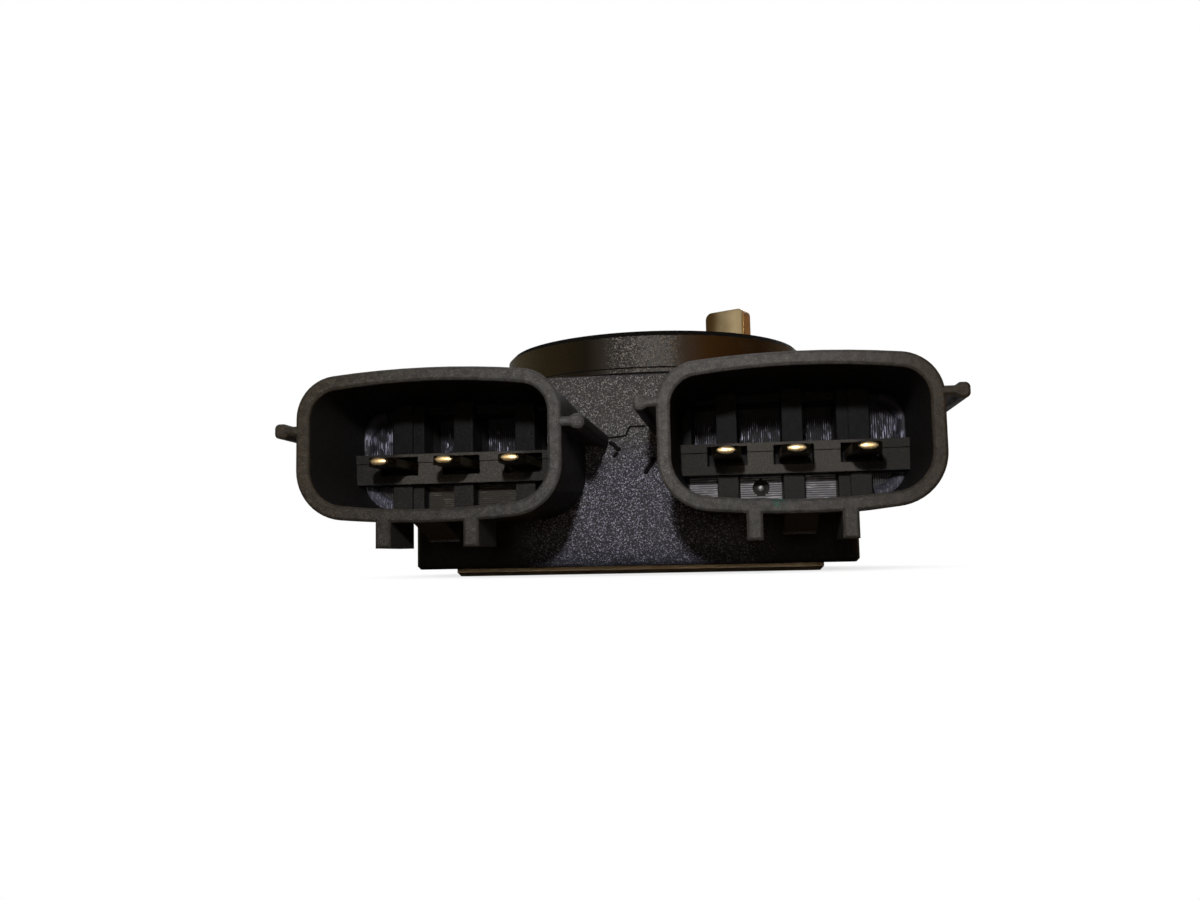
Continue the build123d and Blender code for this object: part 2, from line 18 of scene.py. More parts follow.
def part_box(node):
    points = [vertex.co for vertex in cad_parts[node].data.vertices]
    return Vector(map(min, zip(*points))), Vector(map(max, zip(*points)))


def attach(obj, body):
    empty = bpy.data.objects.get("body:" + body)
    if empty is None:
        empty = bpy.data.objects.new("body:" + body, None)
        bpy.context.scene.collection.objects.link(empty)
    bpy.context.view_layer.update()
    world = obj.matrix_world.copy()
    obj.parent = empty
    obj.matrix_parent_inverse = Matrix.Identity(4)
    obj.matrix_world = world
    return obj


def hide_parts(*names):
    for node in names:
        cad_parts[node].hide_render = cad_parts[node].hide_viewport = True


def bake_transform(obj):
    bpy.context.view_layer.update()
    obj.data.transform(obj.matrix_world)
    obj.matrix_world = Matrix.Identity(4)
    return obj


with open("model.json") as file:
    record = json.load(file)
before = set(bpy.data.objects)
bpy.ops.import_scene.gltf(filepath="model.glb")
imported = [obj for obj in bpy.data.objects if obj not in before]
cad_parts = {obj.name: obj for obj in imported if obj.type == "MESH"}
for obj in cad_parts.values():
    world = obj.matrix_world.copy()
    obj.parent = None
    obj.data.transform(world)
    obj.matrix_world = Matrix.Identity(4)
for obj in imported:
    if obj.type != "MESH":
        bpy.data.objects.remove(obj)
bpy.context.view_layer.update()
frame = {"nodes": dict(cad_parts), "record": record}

MM = 0.001
# A distance that no surface of the sensor reaches.
FAR = 99.0
WHITE = (1.0, 1.0, 1.0)
METAL = ("Metallic", 1.0)

Colour = tuple[float, float, float]
Point = tuple[float, float, float]
Span = tuple[float, float]
Stops = tuple[tuple[float, Colour], ...]
Shape = tuple[Vector, Vector]
Strand = list[tuple[Vector, float]]
Inputs = tuple[tuple[str, float], ...]
Node = bpy.types.Node
Socket = bpy.types.NodeSocket
Material = bpy.types.Material
Piece = bpy.types.Object

log = logging.getLogger("throttle_sensor")


class Body(Enum):
    """The two bodies that pieces ride on."""

    SENSOR = "sensor_body"
    ROTOR = "rotor"


class Stamp(Enum):
    """The small shapes that are set on points."""

    RIDGE = "ridge"
    DOME = "dome"


class Side(Enum):
    """The two connectors, with the sign of the X direction away from the middle."""

    LEFT = -1
    RIGHT = 1

    @property
    def label(self) -> str:
        """Returns the word for this side in names."""
        return self.name.lower()

    def place(self, across: float, depth: float, height: float) -> Vector:
        """Returns a place from its Y and its offsets to the socket's centre, negative outwards."""
        centre = mount_place(f"{self.label}_socket")
        return Vector((centre.x - self.value * across, depth, centre.z + height))


def rgba(colour: Colour) -> tuple[float, float, float, float]:
    """Returns a colour with full alpha."""
    return (*colour, 1.0)


def mount_place(name: str) -> Vector:
    """Finds one of the record's mounts.

    Args:
        name: the mount's name.

    Returns:
        Its place in millimetres.

    Raises:
        KeyError: if there is no such mount.
    """
    for mount in frame["record"]["mounts"]:
        if mount["name"] == name:
            return Vector(mount["pos_m"]) / MM
    raise KeyError(name)


class Web:
    """A node tree with short ways to add nodes and join their sockets."""

    def __init__(self, tree: bpy.types.NodeTree) -> None:
        """Keeps the tree that the nodes go into."""
        self.tree = tree

    def node(self, kind: str, **settings: Any) -> Node:
        """Adds a node.

        Args:
            kind: the node's type.
            settings: properties of the node, by name.

        Returns:
            The new node.
        """
        node = self.tree.nodes.new(kind)
        for name, value in settings.items():
            setattr(node, name, value)
        return node

    def feed(self, socket: Socket, value: Any) -> None:
        """Links a socket to another socket, or gives it a constant.

        Args:
            socket: the input to feed.
            value: the other socket or the constant.
        """
        if isinstance(value, Socket):
            self.tree.links.new(value, socket)
        else:
            socket.default_value = value

    def fill(self, node: Node, **values: Any) -> Node:
        """Feeds a node's inputs by name.

        Args:
            node: the node to feed.
            values: sockets or constants, by input name with underscores for spaces.

        Returns:
            The same node.
        """
        for name, value in values.items():
            self.feed(node.inputs[name.replace("_", " ")], value)
        return node

    def maths(self, operation: str, *values: Any, clamp: bool = False) -> Socket:
        """Adds a maths node.

        Args:
            operation: the node's operation.
            values: one to three sockets or numbers.
            clamp: whether the result is held between 0 and 1.

        Returns:
            The result's socket.
        """
        node = self.node("ShaderNodeMath", operation=operation, use_clamp=clamp)
        for socket, value in zip(node.inputs, values):
            self.feed(socket, value)
        return node.outputs[0]

    def times(self, first: Any, *others: Any) -> Any:
        """Multiplies sockets and numbers.

        Args:
            first: a socket or a number.
            others: what it is multiplied by.

        Returns:
            The product's socket.
        """
        for other in others:
            first = self.maths("MULTIPLY", first, other)
        return first

    def rest(self, share: Any) -> Socket:
        """Returns what a share leaves of 1."""
        return self.maths("SUBTRACT", 1.0, share)

    def apart(self, value: Any, centre: float) -> Socket:
        """Returns how far a value is from a centre."""
        return self.maths("ABSOLUTE", self.maths("SUBTRACT", value, centre))

    def band(self, value: Any, low: float, high: float) -> Socket:
        """Returns a smooth step of a value from 0 at low to 1 at high."""
        node = self.node("ShaderNodeMapRange", interpolation_type="SMOOTHSTEP")
        return self.fill(node, Value=value, From_Min=low, From_Max=high).outputs[0]

    def between(self, value: Any, low: float, high: float, soft: float) -> Socket:
        """Returns 1 where a value lies between two limits, with soft edges."""
        return self.times(self.band(value, low - soft, low), self.band(value, high + soft, high))

    def vector(self, operation: str, *values: Any, scale: Any = None) -> Socket:
        """Adds a vector maths node.

        Args:
            operation: the node's operation.
            values: sockets or vectors.
            scale: the factor, for the operation SCALE.

        Returns:
            The result's socket: a number for a dot product or length, else a vector.
        """
        node = self.node("ShaderNodeVectorMath", operation=operation)
        for socket, value in zip(node.inputs, values):
            self.feed(socket, value)
        if scale is not None:
            self.feed(node.inputs["Scale"], scale)
        return node.outputs["Value" if operation in ("DOT_PRODUCT", "LENGTH") else "Vector"]

    def joined(self, x: Any, y: Any, z: Any) -> Socket:
        """Returns a vector made of three sockets or numbers."""
        return self.fill(self.node("ShaderNodeCombineXYZ"), X=x, Y=y, Z=z).outputs[0]


class Shading(Web):
    """A material's nodes, whose places are Object coordinates in millimetres."""

    bevel_samples: int = 6

    def __init__(self, name: str) -> None:
        """Starts an empty material.

        Args:
            name: the material's name.
        """
        self.material = bpy.data.materials.new(name)
        self.material.use_nodes = True
        super().__init__(self.material.node_tree)
        self.tree.nodes.clear()
        self.place = self.vector("SCALE", self.node("ShaderNodeTexCoord").outputs["Object"], scale=1 / MM)
        self.x, self.y, self.z = self.parts(self.place)
        self.normal = self.node("ShaderNodeNewGeometry").outputs["Normal"]

    def parts(self, vector: Socket) -> tuple[Socket, ...]:
        """Returns the three parts of a vector."""
        return tuple(self.fill(self.node("ShaderNodeSeparateXYZ"), Vector=vector).outputs)

    def radius(self, axis: Span = (0.0, 0.0)) -> Socket:
        """Returns the distance from an upright axis, the rotor's if no other is given."""
        flat = self.joined(self.x, self.y, 0.0)
        return self.vector("LENGTH", self.vector("SUBTRACT", flat, (*axis, 0.0)))

    def colour(self, factor: Any, first: Any, second: Any) -> Socket:
        """Mixes two colours.

        Args:
            factor: 0 for the first colour to 1 for the second.
            first: a socket or a colour.
            second: a socket or a colour.

        Returns:
            The mixed colour's socket.
        """
        node = self.node("ShaderNodeMix", data_type="RGBA")
        for socket, value in zip((node.inputs[0], node.inputs[6], node.inputs[7]), (factor, first, second)):
            self.feed(socket, rgba(value) if isinstance(value, tuple) else value)
        return node.outputs[2]

    def number(self, factor: Any, first: Any, second: Any) -> Socket:
        """Mixes two numbers.

        Args:
            factor: 0 for the first number to 1 for the second.
            first: a socket or a number.
            second: a socket or a number.

        Returns:
            The mixed number's socket.
        """
        node = self.node("ShaderNodeMix", data_type="FLOAT")
        for socket, value in zip((node.inputs[0], node.inputs[2], node.inputs[3]), (factor, first, second)):
            self.feed(socket, value)
        return node.outputs[0]

    def noise(self, grain: float, detail: float, place: Socket) -> Socket:
        """Returns a soft noise of about 0.5, from the size of its patches, its finer layers and its place."""
        node = self.node("ShaderNodeTexNoise")
        return self.fill(node, Vector=place, Scale=1 / grain, Detail=detail).outputs[0]

    def cells(self, grain: float, place: Socket) -> Node:
        """Returns a cell pattern whose Color output is one random colour for each cell."""
        return self.fill(self.node("ShaderNodeTexVoronoi"), Vector=place, Scale=1 / grain)

    def ramp(self, factor: Any, stops: Stops) -> Socket:
        """Runs a colour through some stops.

        Args:
            factor: the place along the run, 0 to 1.
            stops: the place and the colour of each stop.

        Returns:
            The colour's socket.
        """
        node = self.node("ShaderNodeValToRGB")
        while len(node.color_ramp.elements) < len(stops):
            node.color_ramp.elements.new(0.5)
        for element, (position, colour) in zip(node.color_ramp.elements, stops):
            element.position = position
            element.color = rgba(colour)
        self.feed(node.inputs[0], factor)
        return node.outputs[0]

    def rounded(self, radius: float) -> Socket:
        """Returns the normal with the edges rounded by a radius."""
        node = self.node("ShaderNodeBevel", samples=self.bevel_samples)
        return self.fill(node, Radius=radius * MM).outputs[0]

    def bump(self, height: Any, depth: float, normal: Socket) -> Socket:
        """Returns a normal with a relief of heights from 0 to 1 added, whose full height is the depth."""
        node = self.node("ShaderNodeBump")
        return self.fill(node, Height=height, Distance=depth * MM, Normal=normal).outputs[0]

    def edge(self, rounded: Socket, gain: float) -> Socket:
        """Returns a mask of the edges, where the rounded normal leaves the true one."""
        apart = self.vector("LENGTH", self.vector("SUBTRACT", rounded, self.normal))
        return self.maths("MULTIPLY", apart, gain, clamp=True)

    def finish(self, **inputs: Any) -> Material:
        """Ends the tree in a Principled shader.

        Args:
            inputs: the shader's inputs, by name with underscores for spaces.

        Returns:
            The finished material.
        """
        shader = self.fill(self.node("ShaderNodeBsdfPrincipled"), **inputs)
        self.fill(self.node("ShaderNodeOutputMaterial"), Surface=shader.outputs[0])
        return self.material


@dataclass(frozen=True)
class Cloud:
    """A soft noise, with the limits of its mask or of a value that it varies."""

    grain: float
    detail: float
    low: float = 0.3
    high: float = 0.7
    squeeze: Point = (1.0, 1.0, 1.0)

    def height(self, web: Shading) -> Socket:
        """Returns the bare noise."""
        return web.noise(self.grain, self.detail, web.vector("MULTIPLY", web.place, self.squeeze))

    def mask(self, web: Shading) -> Socket:
        """Returns a mask that rises from 0 where the noise is low to 1 where it is high."""
        return web.band(self.height(web), self.low, self.high)

    def value(self, web: Shading) -> Socket:
        """Returns a number that drifts between the limits."""
        return web.number(self.height(web), self.low, self.high)


@dataclass(frozen=True)
class Rings:
    """Fine rings about an upright axis, as turning leaves them."""

    grain: float = 0.18
    detail: float = 3.0
    axis: Span = (0.0, 0.0)

    def height(self, web: Shading) -> Socket:
        """Returns the height of the rings."""
        return web.noise(self.grain, self.detail, web.joined(web.radius(self.axis), web.z, 0.0))


@dataclass(frozen=True)
class Pores:
    """Small round pits."""

    grain: float = 0.16
    limits: Span = (0.1, 0.4)

    def height(self, web: Shading) -> Socket:
        """Returns the height of the surface round the pits."""
        return web.band(web.cells(self.grain, web.place).outputs["Distance"], *self.limits)


@dataclass(frozen=True)
class SparkErodedMoulding:
    """Black moulding with the sparkling grain of a spark-eroded mould.

    The face between the connectors is the coarsest, and its fade to the plain colour behind them partly
    paints the shade under them; the mouth rims and the sockets are smoother. The boss carries painted
    reflections, olive on its left and brown on its right, and painted shade on its rounded top edge. A zone's
    spans are its limits, or else run from where it starts to where it is full, and spans of levels run from
    outside a zone to inside it.
    """

    name: str = "black_moulding"
    shade: Colour = (0.0225, 0.0215, 0.0215)
    bloom: Colour = (0.029, 0.028, 0.0275)
    face_warm: Colour = (0.0555, 0.053, 0.052)
    face_cool: Colour = (0.0565, 0.0563, 0.0690)
    # Painted shade: the face is darker and bluer at its foot, under the connectors.
    face_foot: Colour = (0.0245, 0.0258, 0.0350)
    socket: Colour = (0.0026, 0.0026, 0.0034)
    socket_foot: Colour = (0.013, 0.0122, 0.0115)
    shelf: Colour = (0.016, 0.015, 0.0135)
    # The shelf is paler in its middle: coarser grain there, and painted shade at its ends by the walls.
    shelf_worn: Colour = (0.040, 0.037, 0.033)
    # Flanks and socket walls are darker: partly a smoother finish, partly painted shade where the key only
    # grazes.
    flank: Colour = (0.0165, 0.0155, 0.0155)
    wall: Colour = (0.0085, 0.008, 0.008)
    # Rim colours from left to right: painted light, palest mid-sensor, browner and darker at the outer ends.
    rim: Stops = (
        (0.0, (0.025, 0.0205, 0.0145)),
        (0.2, (0.029, 0.0275, 0.025)),
        (0.4, (0.033, 0.032, 0.0315)),
        (0.7, (0.040, 0.0385, 0.0365)),
        (0.84, (0.034, 0.032, 0.0295)),
        (0.97, (0.019, 0.0150, 0.0098)),
    )
    # Colours round the boss by the way its side faces: painted reflections, olive left, dark band, grey
    # front, brown right.
    boss: Stops = (
        (0.0, (0.045, 0.033, 0.010)),
        (0.14, (0.022, 0.016, 0.006)),
        (0.33, (0.008, 0.006, 0.003)),
        (0.43, (0.0285, 0.0252, 0.0205)),
        (0.58, (0.028, 0.0226, 0.0165)),
        (0.70, (0.026, 0.011, 0.002)),
        (0.86, (0.013, 0.0055, 0.001)),
        (1.0, (0.035, 0.020, 0.006)),
    )
    # Painted shade: the rounded top edge of the boss is painted near black.
    boss_rim: Colour = (0.004, 0.0035, 0.003)
    # Pale edges: partly wear, partly painted highlight.
    rubbed: Colour = (0.060, 0.055, 0.049)
    brown_film: Colour = (0.040, 0.028, 0.017)
    stain: Colour = (0.013, 0.042, 0.030)
    grain_tint: Stops = ((0.0, (0.92, 0.92, 1.08)), (0.5, WHITE), (1.0, (1.07, 1.0, 0.92)))
    facing: Span = (0.5, 0.7)
    soft: float = 0.1
    face_y: Span = (-16.06, -15.8)
    face_soft: float = 0.05
    face_half: Span = (12.5, 8.5)
    face_warm_z: Span = (8.5, 13.5)
    face_foot_z: Span = (3.4, 0.7)
    inner_y: Span = (-20.7, -13.6)
    inner_half: Span = (9.9, 9.8)
    inner_height: Span = (5.45, 5.35)
    shelf_y: Span = (-20.7, -20.2)
    socket_foot_z: Span = (9.4, 8.9)
    worn_half: Span = (6.0, 4.8)
    flank_y: Span = (-16.0, -16.4)
    rim_y: Span = (-30.0, -30.3)
    rim_half: float = 25.0
    rim_levels: Span = (0.76, 1.26)
    # The rims are painted darker low down: painted shade.
    rim_low_z: Span = (8.0, 3.5)
    rim_low_levels: Span = (1.0, 0.70)
    boss_z: Span = (17.7, 17.9)
    boss_radius: Span = (14.5, 14.6)
    boss_toward: Span = (-0.25, 0.1)
    ahead_across: Span = (-0.15, 0.17)
    ahead_toward: Span = (0.5, 0.9)
    boss_rim_z: Span = (21.2, 21.3)
    boss_rim_up: Span = (0.3, 0.92)
    boss_rim_soft: float = 0.06
    stain_place: Point = (11.35, -30.4, 5.25)
    stain_radius: Span = (0.65, 0.26)
    cloud: Cloud = Cloud(1.6, 4.0)
    rim_cloud: Cloud = Cloud(0.5, 3.0)
    brown_patch: Cloud = Cloud(5.0, 3.0, 0.5, 0.68)
    brown_speck: Cloud = Cloud(0.9, 4.0, 0.35, 0.7)
    stain_speck: Cloud = Cloud(0.25, 3.0, 0.38, 0.52)
    rub_speck: Cloud = Cloud(0.7, 4.0, 0.35, 0.65)
    zone_share: float = 0.92
    brown_share: float = 0.16
    edge_round: float = 0.16
    rub_gain: float = 1.5
    rub_levels: Span = (0.4, 0.1)
    # Painted shade on the rounded edges of the mouth rims.
    dim_gain: float = 1.2
    dim_share: float = 0.6
    grain: float = 0.076
    fleck_power: float = 7.0
    fleck_gain: float = 3.0
    fleck_mean: float = 0.375
    plain_sparkle: Span = (0.22, 0.6)
    face_sparkle: Span = (1.6, 1.2)
    face_sparkle_z: Span = (8.0, 13.5)
    rim_sparkle: float = 0.3
    boss_sparkle: Span = (0.1, 1.5)
    face_tilt: Span = (0.17, 0.34)
    rim_tilt: float = 0.136
    ahead_tilt: float = 0.374
    relief: Cloud = Cloud(0.35, 4.0)
    depth: float = 0.02
    rough: Cloud = Cloud(0.6, 3.0, 0.54, 0.70)
    boss_rough: float = 0.46
    boss_rim_rough: float = 0.9
    sheen: Span = (0.16, 0.07)
    boss_sheen: Span = (0.06, 0.2)
    boss_rim_sheen: float = 0.02

    def zones(self, web: Shading) -> dict[str, Socket]:
        """Marks the parts of the moulding that differ in finish or carry painted light.

        Args:
            web: the material's nodes.

        Returns:
            A mask for each zone, by name.
        """
        across, forward, upward = web.parts(web.normal)
        toward = web.times(forward, -1.0)
        facing = web.band(toward, *self.facing)
        socket = web.times(web.between(web.y, *self.inner_y, self.soft), facing)
        shelf = web.times(web.between(web.y, *self.shelf_y, self.soft), facing)
        flank = web.times(web.band(web.y, *self.flank_y), web.rest(facing))
        left, right = (mount_place(f"{side.label}_socket") for side in Side)
        off = web.maths("MINIMUM", web.apart(web.x, left.x), web.apart(web.x, right.x))
        tall = web.apart(web.z, left.z)
        within = web.times(web.band(off, *self.inner_half), web.band(tall, *self.inner_height))
        boss = web.times(web.band(web.z, *self.boss_z), web.band(web.radius(), *self.boss_radius))
        ahead = web.between(across, *self.ahead_across, self.soft)
        face = web.times(web.between(web.y, *self.face_y, self.face_soft), facing)
        round_edge = web.between(upward, *self.boss_rim_up, self.boss_rim_soft)
        return {
            "socket": socket,
            "shelf": shelf,
            "flank": flank,
            "wall": web.times(flank, within),
            "inside": web.maths("MAXIMUM", socket, web.times(flank, within)),
            "plain": web.rest(web.maths("MAXIMUM", socket, flank)),
            "shelf_middle": web.times(web.band(off, *self.worn_half), shelf),
            "rim": web.band(web.y, *self.rim_y),
            "boss": web.times(boss, web.band(toward, *self.boss_toward)),
            "boss_rim": web.times(round_edge, web.band(web.z, *self.boss_rim_z)),
            "ahead": web.times(ahead, web.band(toward, *self.ahead_toward)),
            # Behind the connectors the face fades to the plain colour, partly as painted shade under them.
            "face": web.times(face, web.band(web.apart(web.x, 0.0), *self.face_half)),
        }

    def paint(self, web: Shading, zone: dict[str, Socket]) -> Socket:
        """Lays the colour of each zone over the plain moulding, painted light and shade among them.

        Args:
            web: the material's nodes.
            zone: the masks of the zones.

        Returns:
            The colour, without the pale edges and the painted glints of the grain.
        """
        colour = web.colour(self.cloud.mask(web), self.shade, self.bloom)
        # The darker flanks and walls are partly painted shade.
        for name in ("socket", "shelf", "flank", "wall"):
            colour = web.colour(web.times(zone[name], self.zone_share), colour, getattr(self, name))
        below = web.times(zone["socket"], web.band(web.z, *self.socket_foot_z), web.rest(zone["shelf"]))
        colour = web.colour(below, colour, self.socket_foot)
        # Painted light on the rims: palest in the middle and high up, browner and darker at the ends and low
        # down.
        rim = web.ramp(web.maths("MULTIPLY_ADD", web.x, 0.5 / self.rim_half, 0.5), self.rim)
        mottle_and_shade = web.number(self.rim_cloud.mask(web), *self.rim_levels)
        mottle_and_shade = web.times(mottle_and_shade, web.number(web.band(web.z, *self.rim_low_z), *self.rim_low_levels))
        colour = web.colour(zone["rim"], colour, web.vector("SCALE", rim, scale=mottle_and_shade))
        # Paler shelf middle: coarser grain, with painted shade at the ends by the walls.
        colour = web.colour(zone["shelf_middle"], colour, self.shelf_worn)
        # Painted reflection: the boss's colour follows the way its side faces.
        film = web.ramp(web.maths("MULTIPLY_ADD", web.parts(web.normal)[0], 0.5, 0.5), self.boss)
        colour = web.colour(zone["boss"], colour, film)
        # The face is painted darker and bluer towards its foot: painted shade under the connectors.
        face = web.colour(web.band(web.z, *self.face_warm_z), self.face_cool, self.face_warm)
        face = web.colour(web.band(web.z, *self.face_foot_z), face, self.face_foot)
        colour = web.colour(zone["face"], colour, face)
        brown = web.times(self.brown_patch.mask(web), self.brown_speck.mask(web))
        colour = web.colour(web.times(brown, zone["plain"], self.brown_share), colour, self.brown_film)
        away = web.vector("LENGTH", web.vector("SUBTRACT", web.place, self.stain_place))
        stained = web.times(web.band(away, *self.stain_radius), self.stain_speck.mask(web))
        colour = web.colour(stained, colour, self.stain)
        # Painted shade on the rounded top edge of the boss.
        return web.colour(zone["boss_rim"], colour, self.boss_rim)

    def rub(self, web: Shading, zone: dict[str, Socket], colour: Socket, rounded: Socket) -> Socket:
        """Rubs the edges pale, partly wear and partly painted highlight, and paints shade on the mouth rims'
        edges.

        Args:
            web: the material's nodes.
            zone: the masks of the zones.
            colour: the colour before.
            rounded: the normal with the edges rounded.

        Returns:
            The colour after.
        """
        # Pale edges: partly wear, partly painted highlight.
        rubbed = web.times(web.edge(rounded, self.rub_gain), self.rub_speck.mask(web))
        rubbed = web.times(rubbed, web.number(zone["inside"], *self.rub_levels), web.rest(zone["rim"]))
        colour = web.colour(rubbed, colour, self.rubbed)
        # Painted shade: the rims' rounded edges are darkened towards the wall colour.
        dim = web.times(web.edge(rounded, self.dim_gain), zone["rim"], self.dim_share)
        return web.colour(dim, colour, self.wall)

    def sparkle(self, web: Shading, zone: dict[str, Socket], colour: Socket, facets: Socket) -> Socket:
        """Paints glints on a few facets of the grain as brighter colour, and tints them all.

        Args:
            web: the material's nodes.
            zone: the masks of the zones.
            colour: the colour before.
            facets: a random colour for each facet.

        Returns:
            The colour after.
        """
        red, green, _ = web.parts(facets)
        # The painted glints are strongest on the face and the front of the boss, where the key light falls.
        strength = web.number(zone["plain"], *self.plain_sparkle)
        face = web.number(web.band(web.z, *self.face_sparkle_z), *self.face_sparkle)
        strength = web.number(zone["face"], strength, face)
        strength = web.number(zone["rim"], strength, self.rim_sparkle)
        strength = web.number(zone["boss"], strength, web.number(zone["ahead"], *self.boss_sparkle))
        painted_glint = web.times(web.maths("POWER", red, self.fleck_power), self.fleck_gain)
        gain = web.maths("MULTIPLY_ADD", web.maths("SUBTRACT", painted_glint, self.fleck_mean), strength, 1.0)
        flecked = web.vector("SCALE", colour, scale=gain)
        return web.vector("MULTIPLY", flecked, web.ramp(green, self.grain_tint))

    def material(self) -> Material:
        """Builds the nodes of the moulding.

        Returns:
            The material.
        """
        web = Shading(self.name)
        zone = self.zones(web)
        rounded = web.rounded(self.edge_round)
        facets = web.cells(self.grain, web.place).outputs["Color"]
        colour = self.rub(web, zone, self.paint(web, zone), rounded)
        lean = web.number(zone["face"], *self.face_tilt)
        lean = web.number(zone["rim"], lean, self.rim_tilt)
        lean = web.number(zone["ahead"], lean, self.ahead_tilt)
        tilt = web.vector("SCALE", web.vector("SUBTRACT", facets, (0.5, 0.5, 0.5)), scale=lean)
        normal = web.vector("NORMALIZE", web.vector("ADD", rounded, tilt))
        rough = web.number(zone["boss"], self.rough.value(web), self.boss_rough)
        boss_sheen = web.number(zone["ahead"], *self.boss_sheen)
        sheen = web.number(zone["boss"], web.number(zone["inside"], *self.sheen), boss_sheen)
        return web.finish(
            Base_Color=self.sparkle(web, zone, colour, facets),
            Roughness=web.number(zone["boss_rim"], rough, self.boss_rim_rough),
            Specular_IOR_Level=web.number(zone["boss_rim"], sheen, self.boss_rim_sheen),
            Normal=web.bump(self.relief.height(web), self.depth, normal),
        )


@dataclass(frozen=True)
class PassivatedSheet:
    """Stamped steel sheet with a warm passivated zinc plating.

    Its tones are painted reflections: browner towards the rotor axis and at the outer end, pale on the tang
    between, where the edges carry painted highlights.
    """

    name: str = "plated_steel"
    # Tones along the lever by distance from the rotor axis are painted reflections.
    brown: Colour = (0.125, 0.075, 0.027)
    end: Colour = (0.21, 0.112, 0.032)
    warm: Colour = (0.82, 0.67, 0.41)
    # Painted highlight on the edges of the tang.
    rubbed: Colour = (0.93, 0.81, 0.58)
    clear_radius: Span = (7.0, 10.2)
    end_radius: Span = (10.65, 11.05)
    drift: float = 1.2
    edge_round: float = 0.22
    edge_gain: float = 1.2
    blotch: Cloud = Cloud(1.1, 4.0)
    streaks: Cloud = Cloud(0.35, 3.0, squeeze=(1.0, 1.0, 0.15))
    streak_depth: float = 0.004
    relief: Cloud = Cloud(0.1, 3.0)
    depth: float = 0.006
    rough: Span = (0.38, 0.5)

    def material(self) -> Material:
        """Builds the nodes of the sheet.

        Returns:
            The material.
        """
        web = Shading(self.name)
        radius = web.radius()
        # Painted reflection: brown near the axis, pale further out, brown again at the outer end.
        drift = web.times(web.maths("SUBTRACT", self.blotch.height(web), 0.5), self.drift)
        clear = web.band(web.maths("ADD", radius, drift), *self.clear_radius)
        colour = web.colour(clear, self.brown, self.warm)
        rounded = web.rounded(self.edge_round)
        # Painted highlight: the edges of the pale part turn paler still.
        colour = web.colour(web.times(web.edge(rounded, self.edge_gain), clear), colour, self.rubbed)
        streaked = web.bump(self.streaks.height(web), self.streak_depth, rounded)
        return web.finish(
            Base_Color=web.colour(web.band(radius, *self.end_radius), colour, self.end),
            Roughness=web.number(self.blotch.mask(web), *self.rough),
            Normal=web.bump(self.relief.height(web), self.depth, streaked),
            Metallic=1.0,
        )


@dataclass(frozen=True, kw_only=True)
class Finish:
    """A finish with a relief and a roughness, whose colour each kind lays in its own way."""

    name: str
    relief: Cloud | Rings | Pores
    depth: float
    rough: Cloud | float
    edge_round: float = 0.0
    shader: Inputs = ()

    def paint(self, web: Shading, rounded: Socket) -> Socket:
        """Returns the colour, where the rounded normal shows the edges."""
        raise NotImplementedError

    def material(self) -> Material:
        """Builds the nodes of the finish.

        Returns:
            The material.
        """
        web = Shading(self.name)
        rounded = web.rounded(self.edge_round) if self.edge_round else web.normal
        return web.finish(
            Base_Color=self.paint(web, rounded),
            Roughness=self.rough.value(web) if isinstance(self.rough, Cloud) else self.rough,
            Normal=web.bump(self.relief.height(web), self.depth, rounded),
            **dict(self.shader),
        )


@dataclass(frozen=True, kw_only=True)
class LinedPanel(Finish):
    """Smooth black of the fine tool lines in the sockets, with painted cold glints here and there.

    The lines of the left and the right socket differ in tone. Lines can go dark upwards, as painted shade
    under the socket's roof, turn even and paler downwards, or take another tone towards the outer ends of the
    sensor.
    """

    left: Colour
    right: Colour
    gain: float
    streak: Point
    relief: Cloud = Cloud(0.18, 3.0)
    depth: float = 0.015
    rough: Cloud = Cloud(0.4, 3.0, 0.42, 0.6)
    shader: Inputs = (("Specular_IOR_Level", 0.08),)
    outer: Colour = (0.034, 0.034, 0.041)
    outer_x: Span = (FAR, FAR + 1.0)
    dark_z: Span = (FAR + 1.0, FAR)
    calm_z: Span = (-FAR, -FAR - 1.0)
    calm_glint: float = 0.3
    calm_level: float = 2.2
    middle: Span = (-4.0, 4.0)
    cell: float = 0.1
    glint_power: float = 4.0
    patch: Cloud = Cloud(1.0, 2.0, 0.36, 0.58)

    def paint(self, web: Shading, rounded: Socket) -> Socket:
        """Lays the tones of the lines and their glints.

        Args:
            web: the material's nodes.
            rounded: the normal, which the lines do without.

        Returns:
            The colour's socket.
        """
        along = web.vector("MULTIPLY", web.place, self.streak)
        red = web.parts(web.cells(self.cell, along).outputs["Color"])[0]
        calm = web.band(web.z, *self.calm_z)
        # Painted glints: brighter colour in some cells, faded out upwards as painted shade under the roof.
        glint = web.times(web.maths("POWER", red, self.glint_power), self.patch.mask(web))
        glint = web.times(glint, web.band(web.z, *self.dark_z), web.number(calm, 1.0, self.calm_glint))
        colour = web.colour(web.band(web.x, *self.middle), self.left, self.right)
        colour = web.colour(web.band(web.apart(web.x, 0.0), *self.outer_x), colour, self.outer)
        level = web.maths("MULTIPLY_ADD", glint, self.gain, web.number(calm, 1.0, self.calm_level))
        return web.vector("SCALE", colour, scale=level)


@dataclass(frozen=True, kw_only=True)
class Toned(Finish):
    """A finish that drifts between two tones, of which the brighter one is on rubbed edges too."""

    shade: Colour
    bright: Colour
    cloud: Cloud
    edge_gain: float = 1.2
    edge_rub: float = 0.0

    def paint(self, web: Shading, rounded: Socket) -> Socket:
        """Lays the two tones.

        Args:
            web: the material's nodes.
            rounded: the normal with the edges rounded.

        Returns:
            The colour's socket.
        """
        colour = web.colour(self.cloud.mask(web), self.shade, self.bright)
        if not self.edge_rub:
            return colour
        return web.colour(web.times(web.edge(rounded, self.edge_gain), self.edge_rub), colour, self.bright)


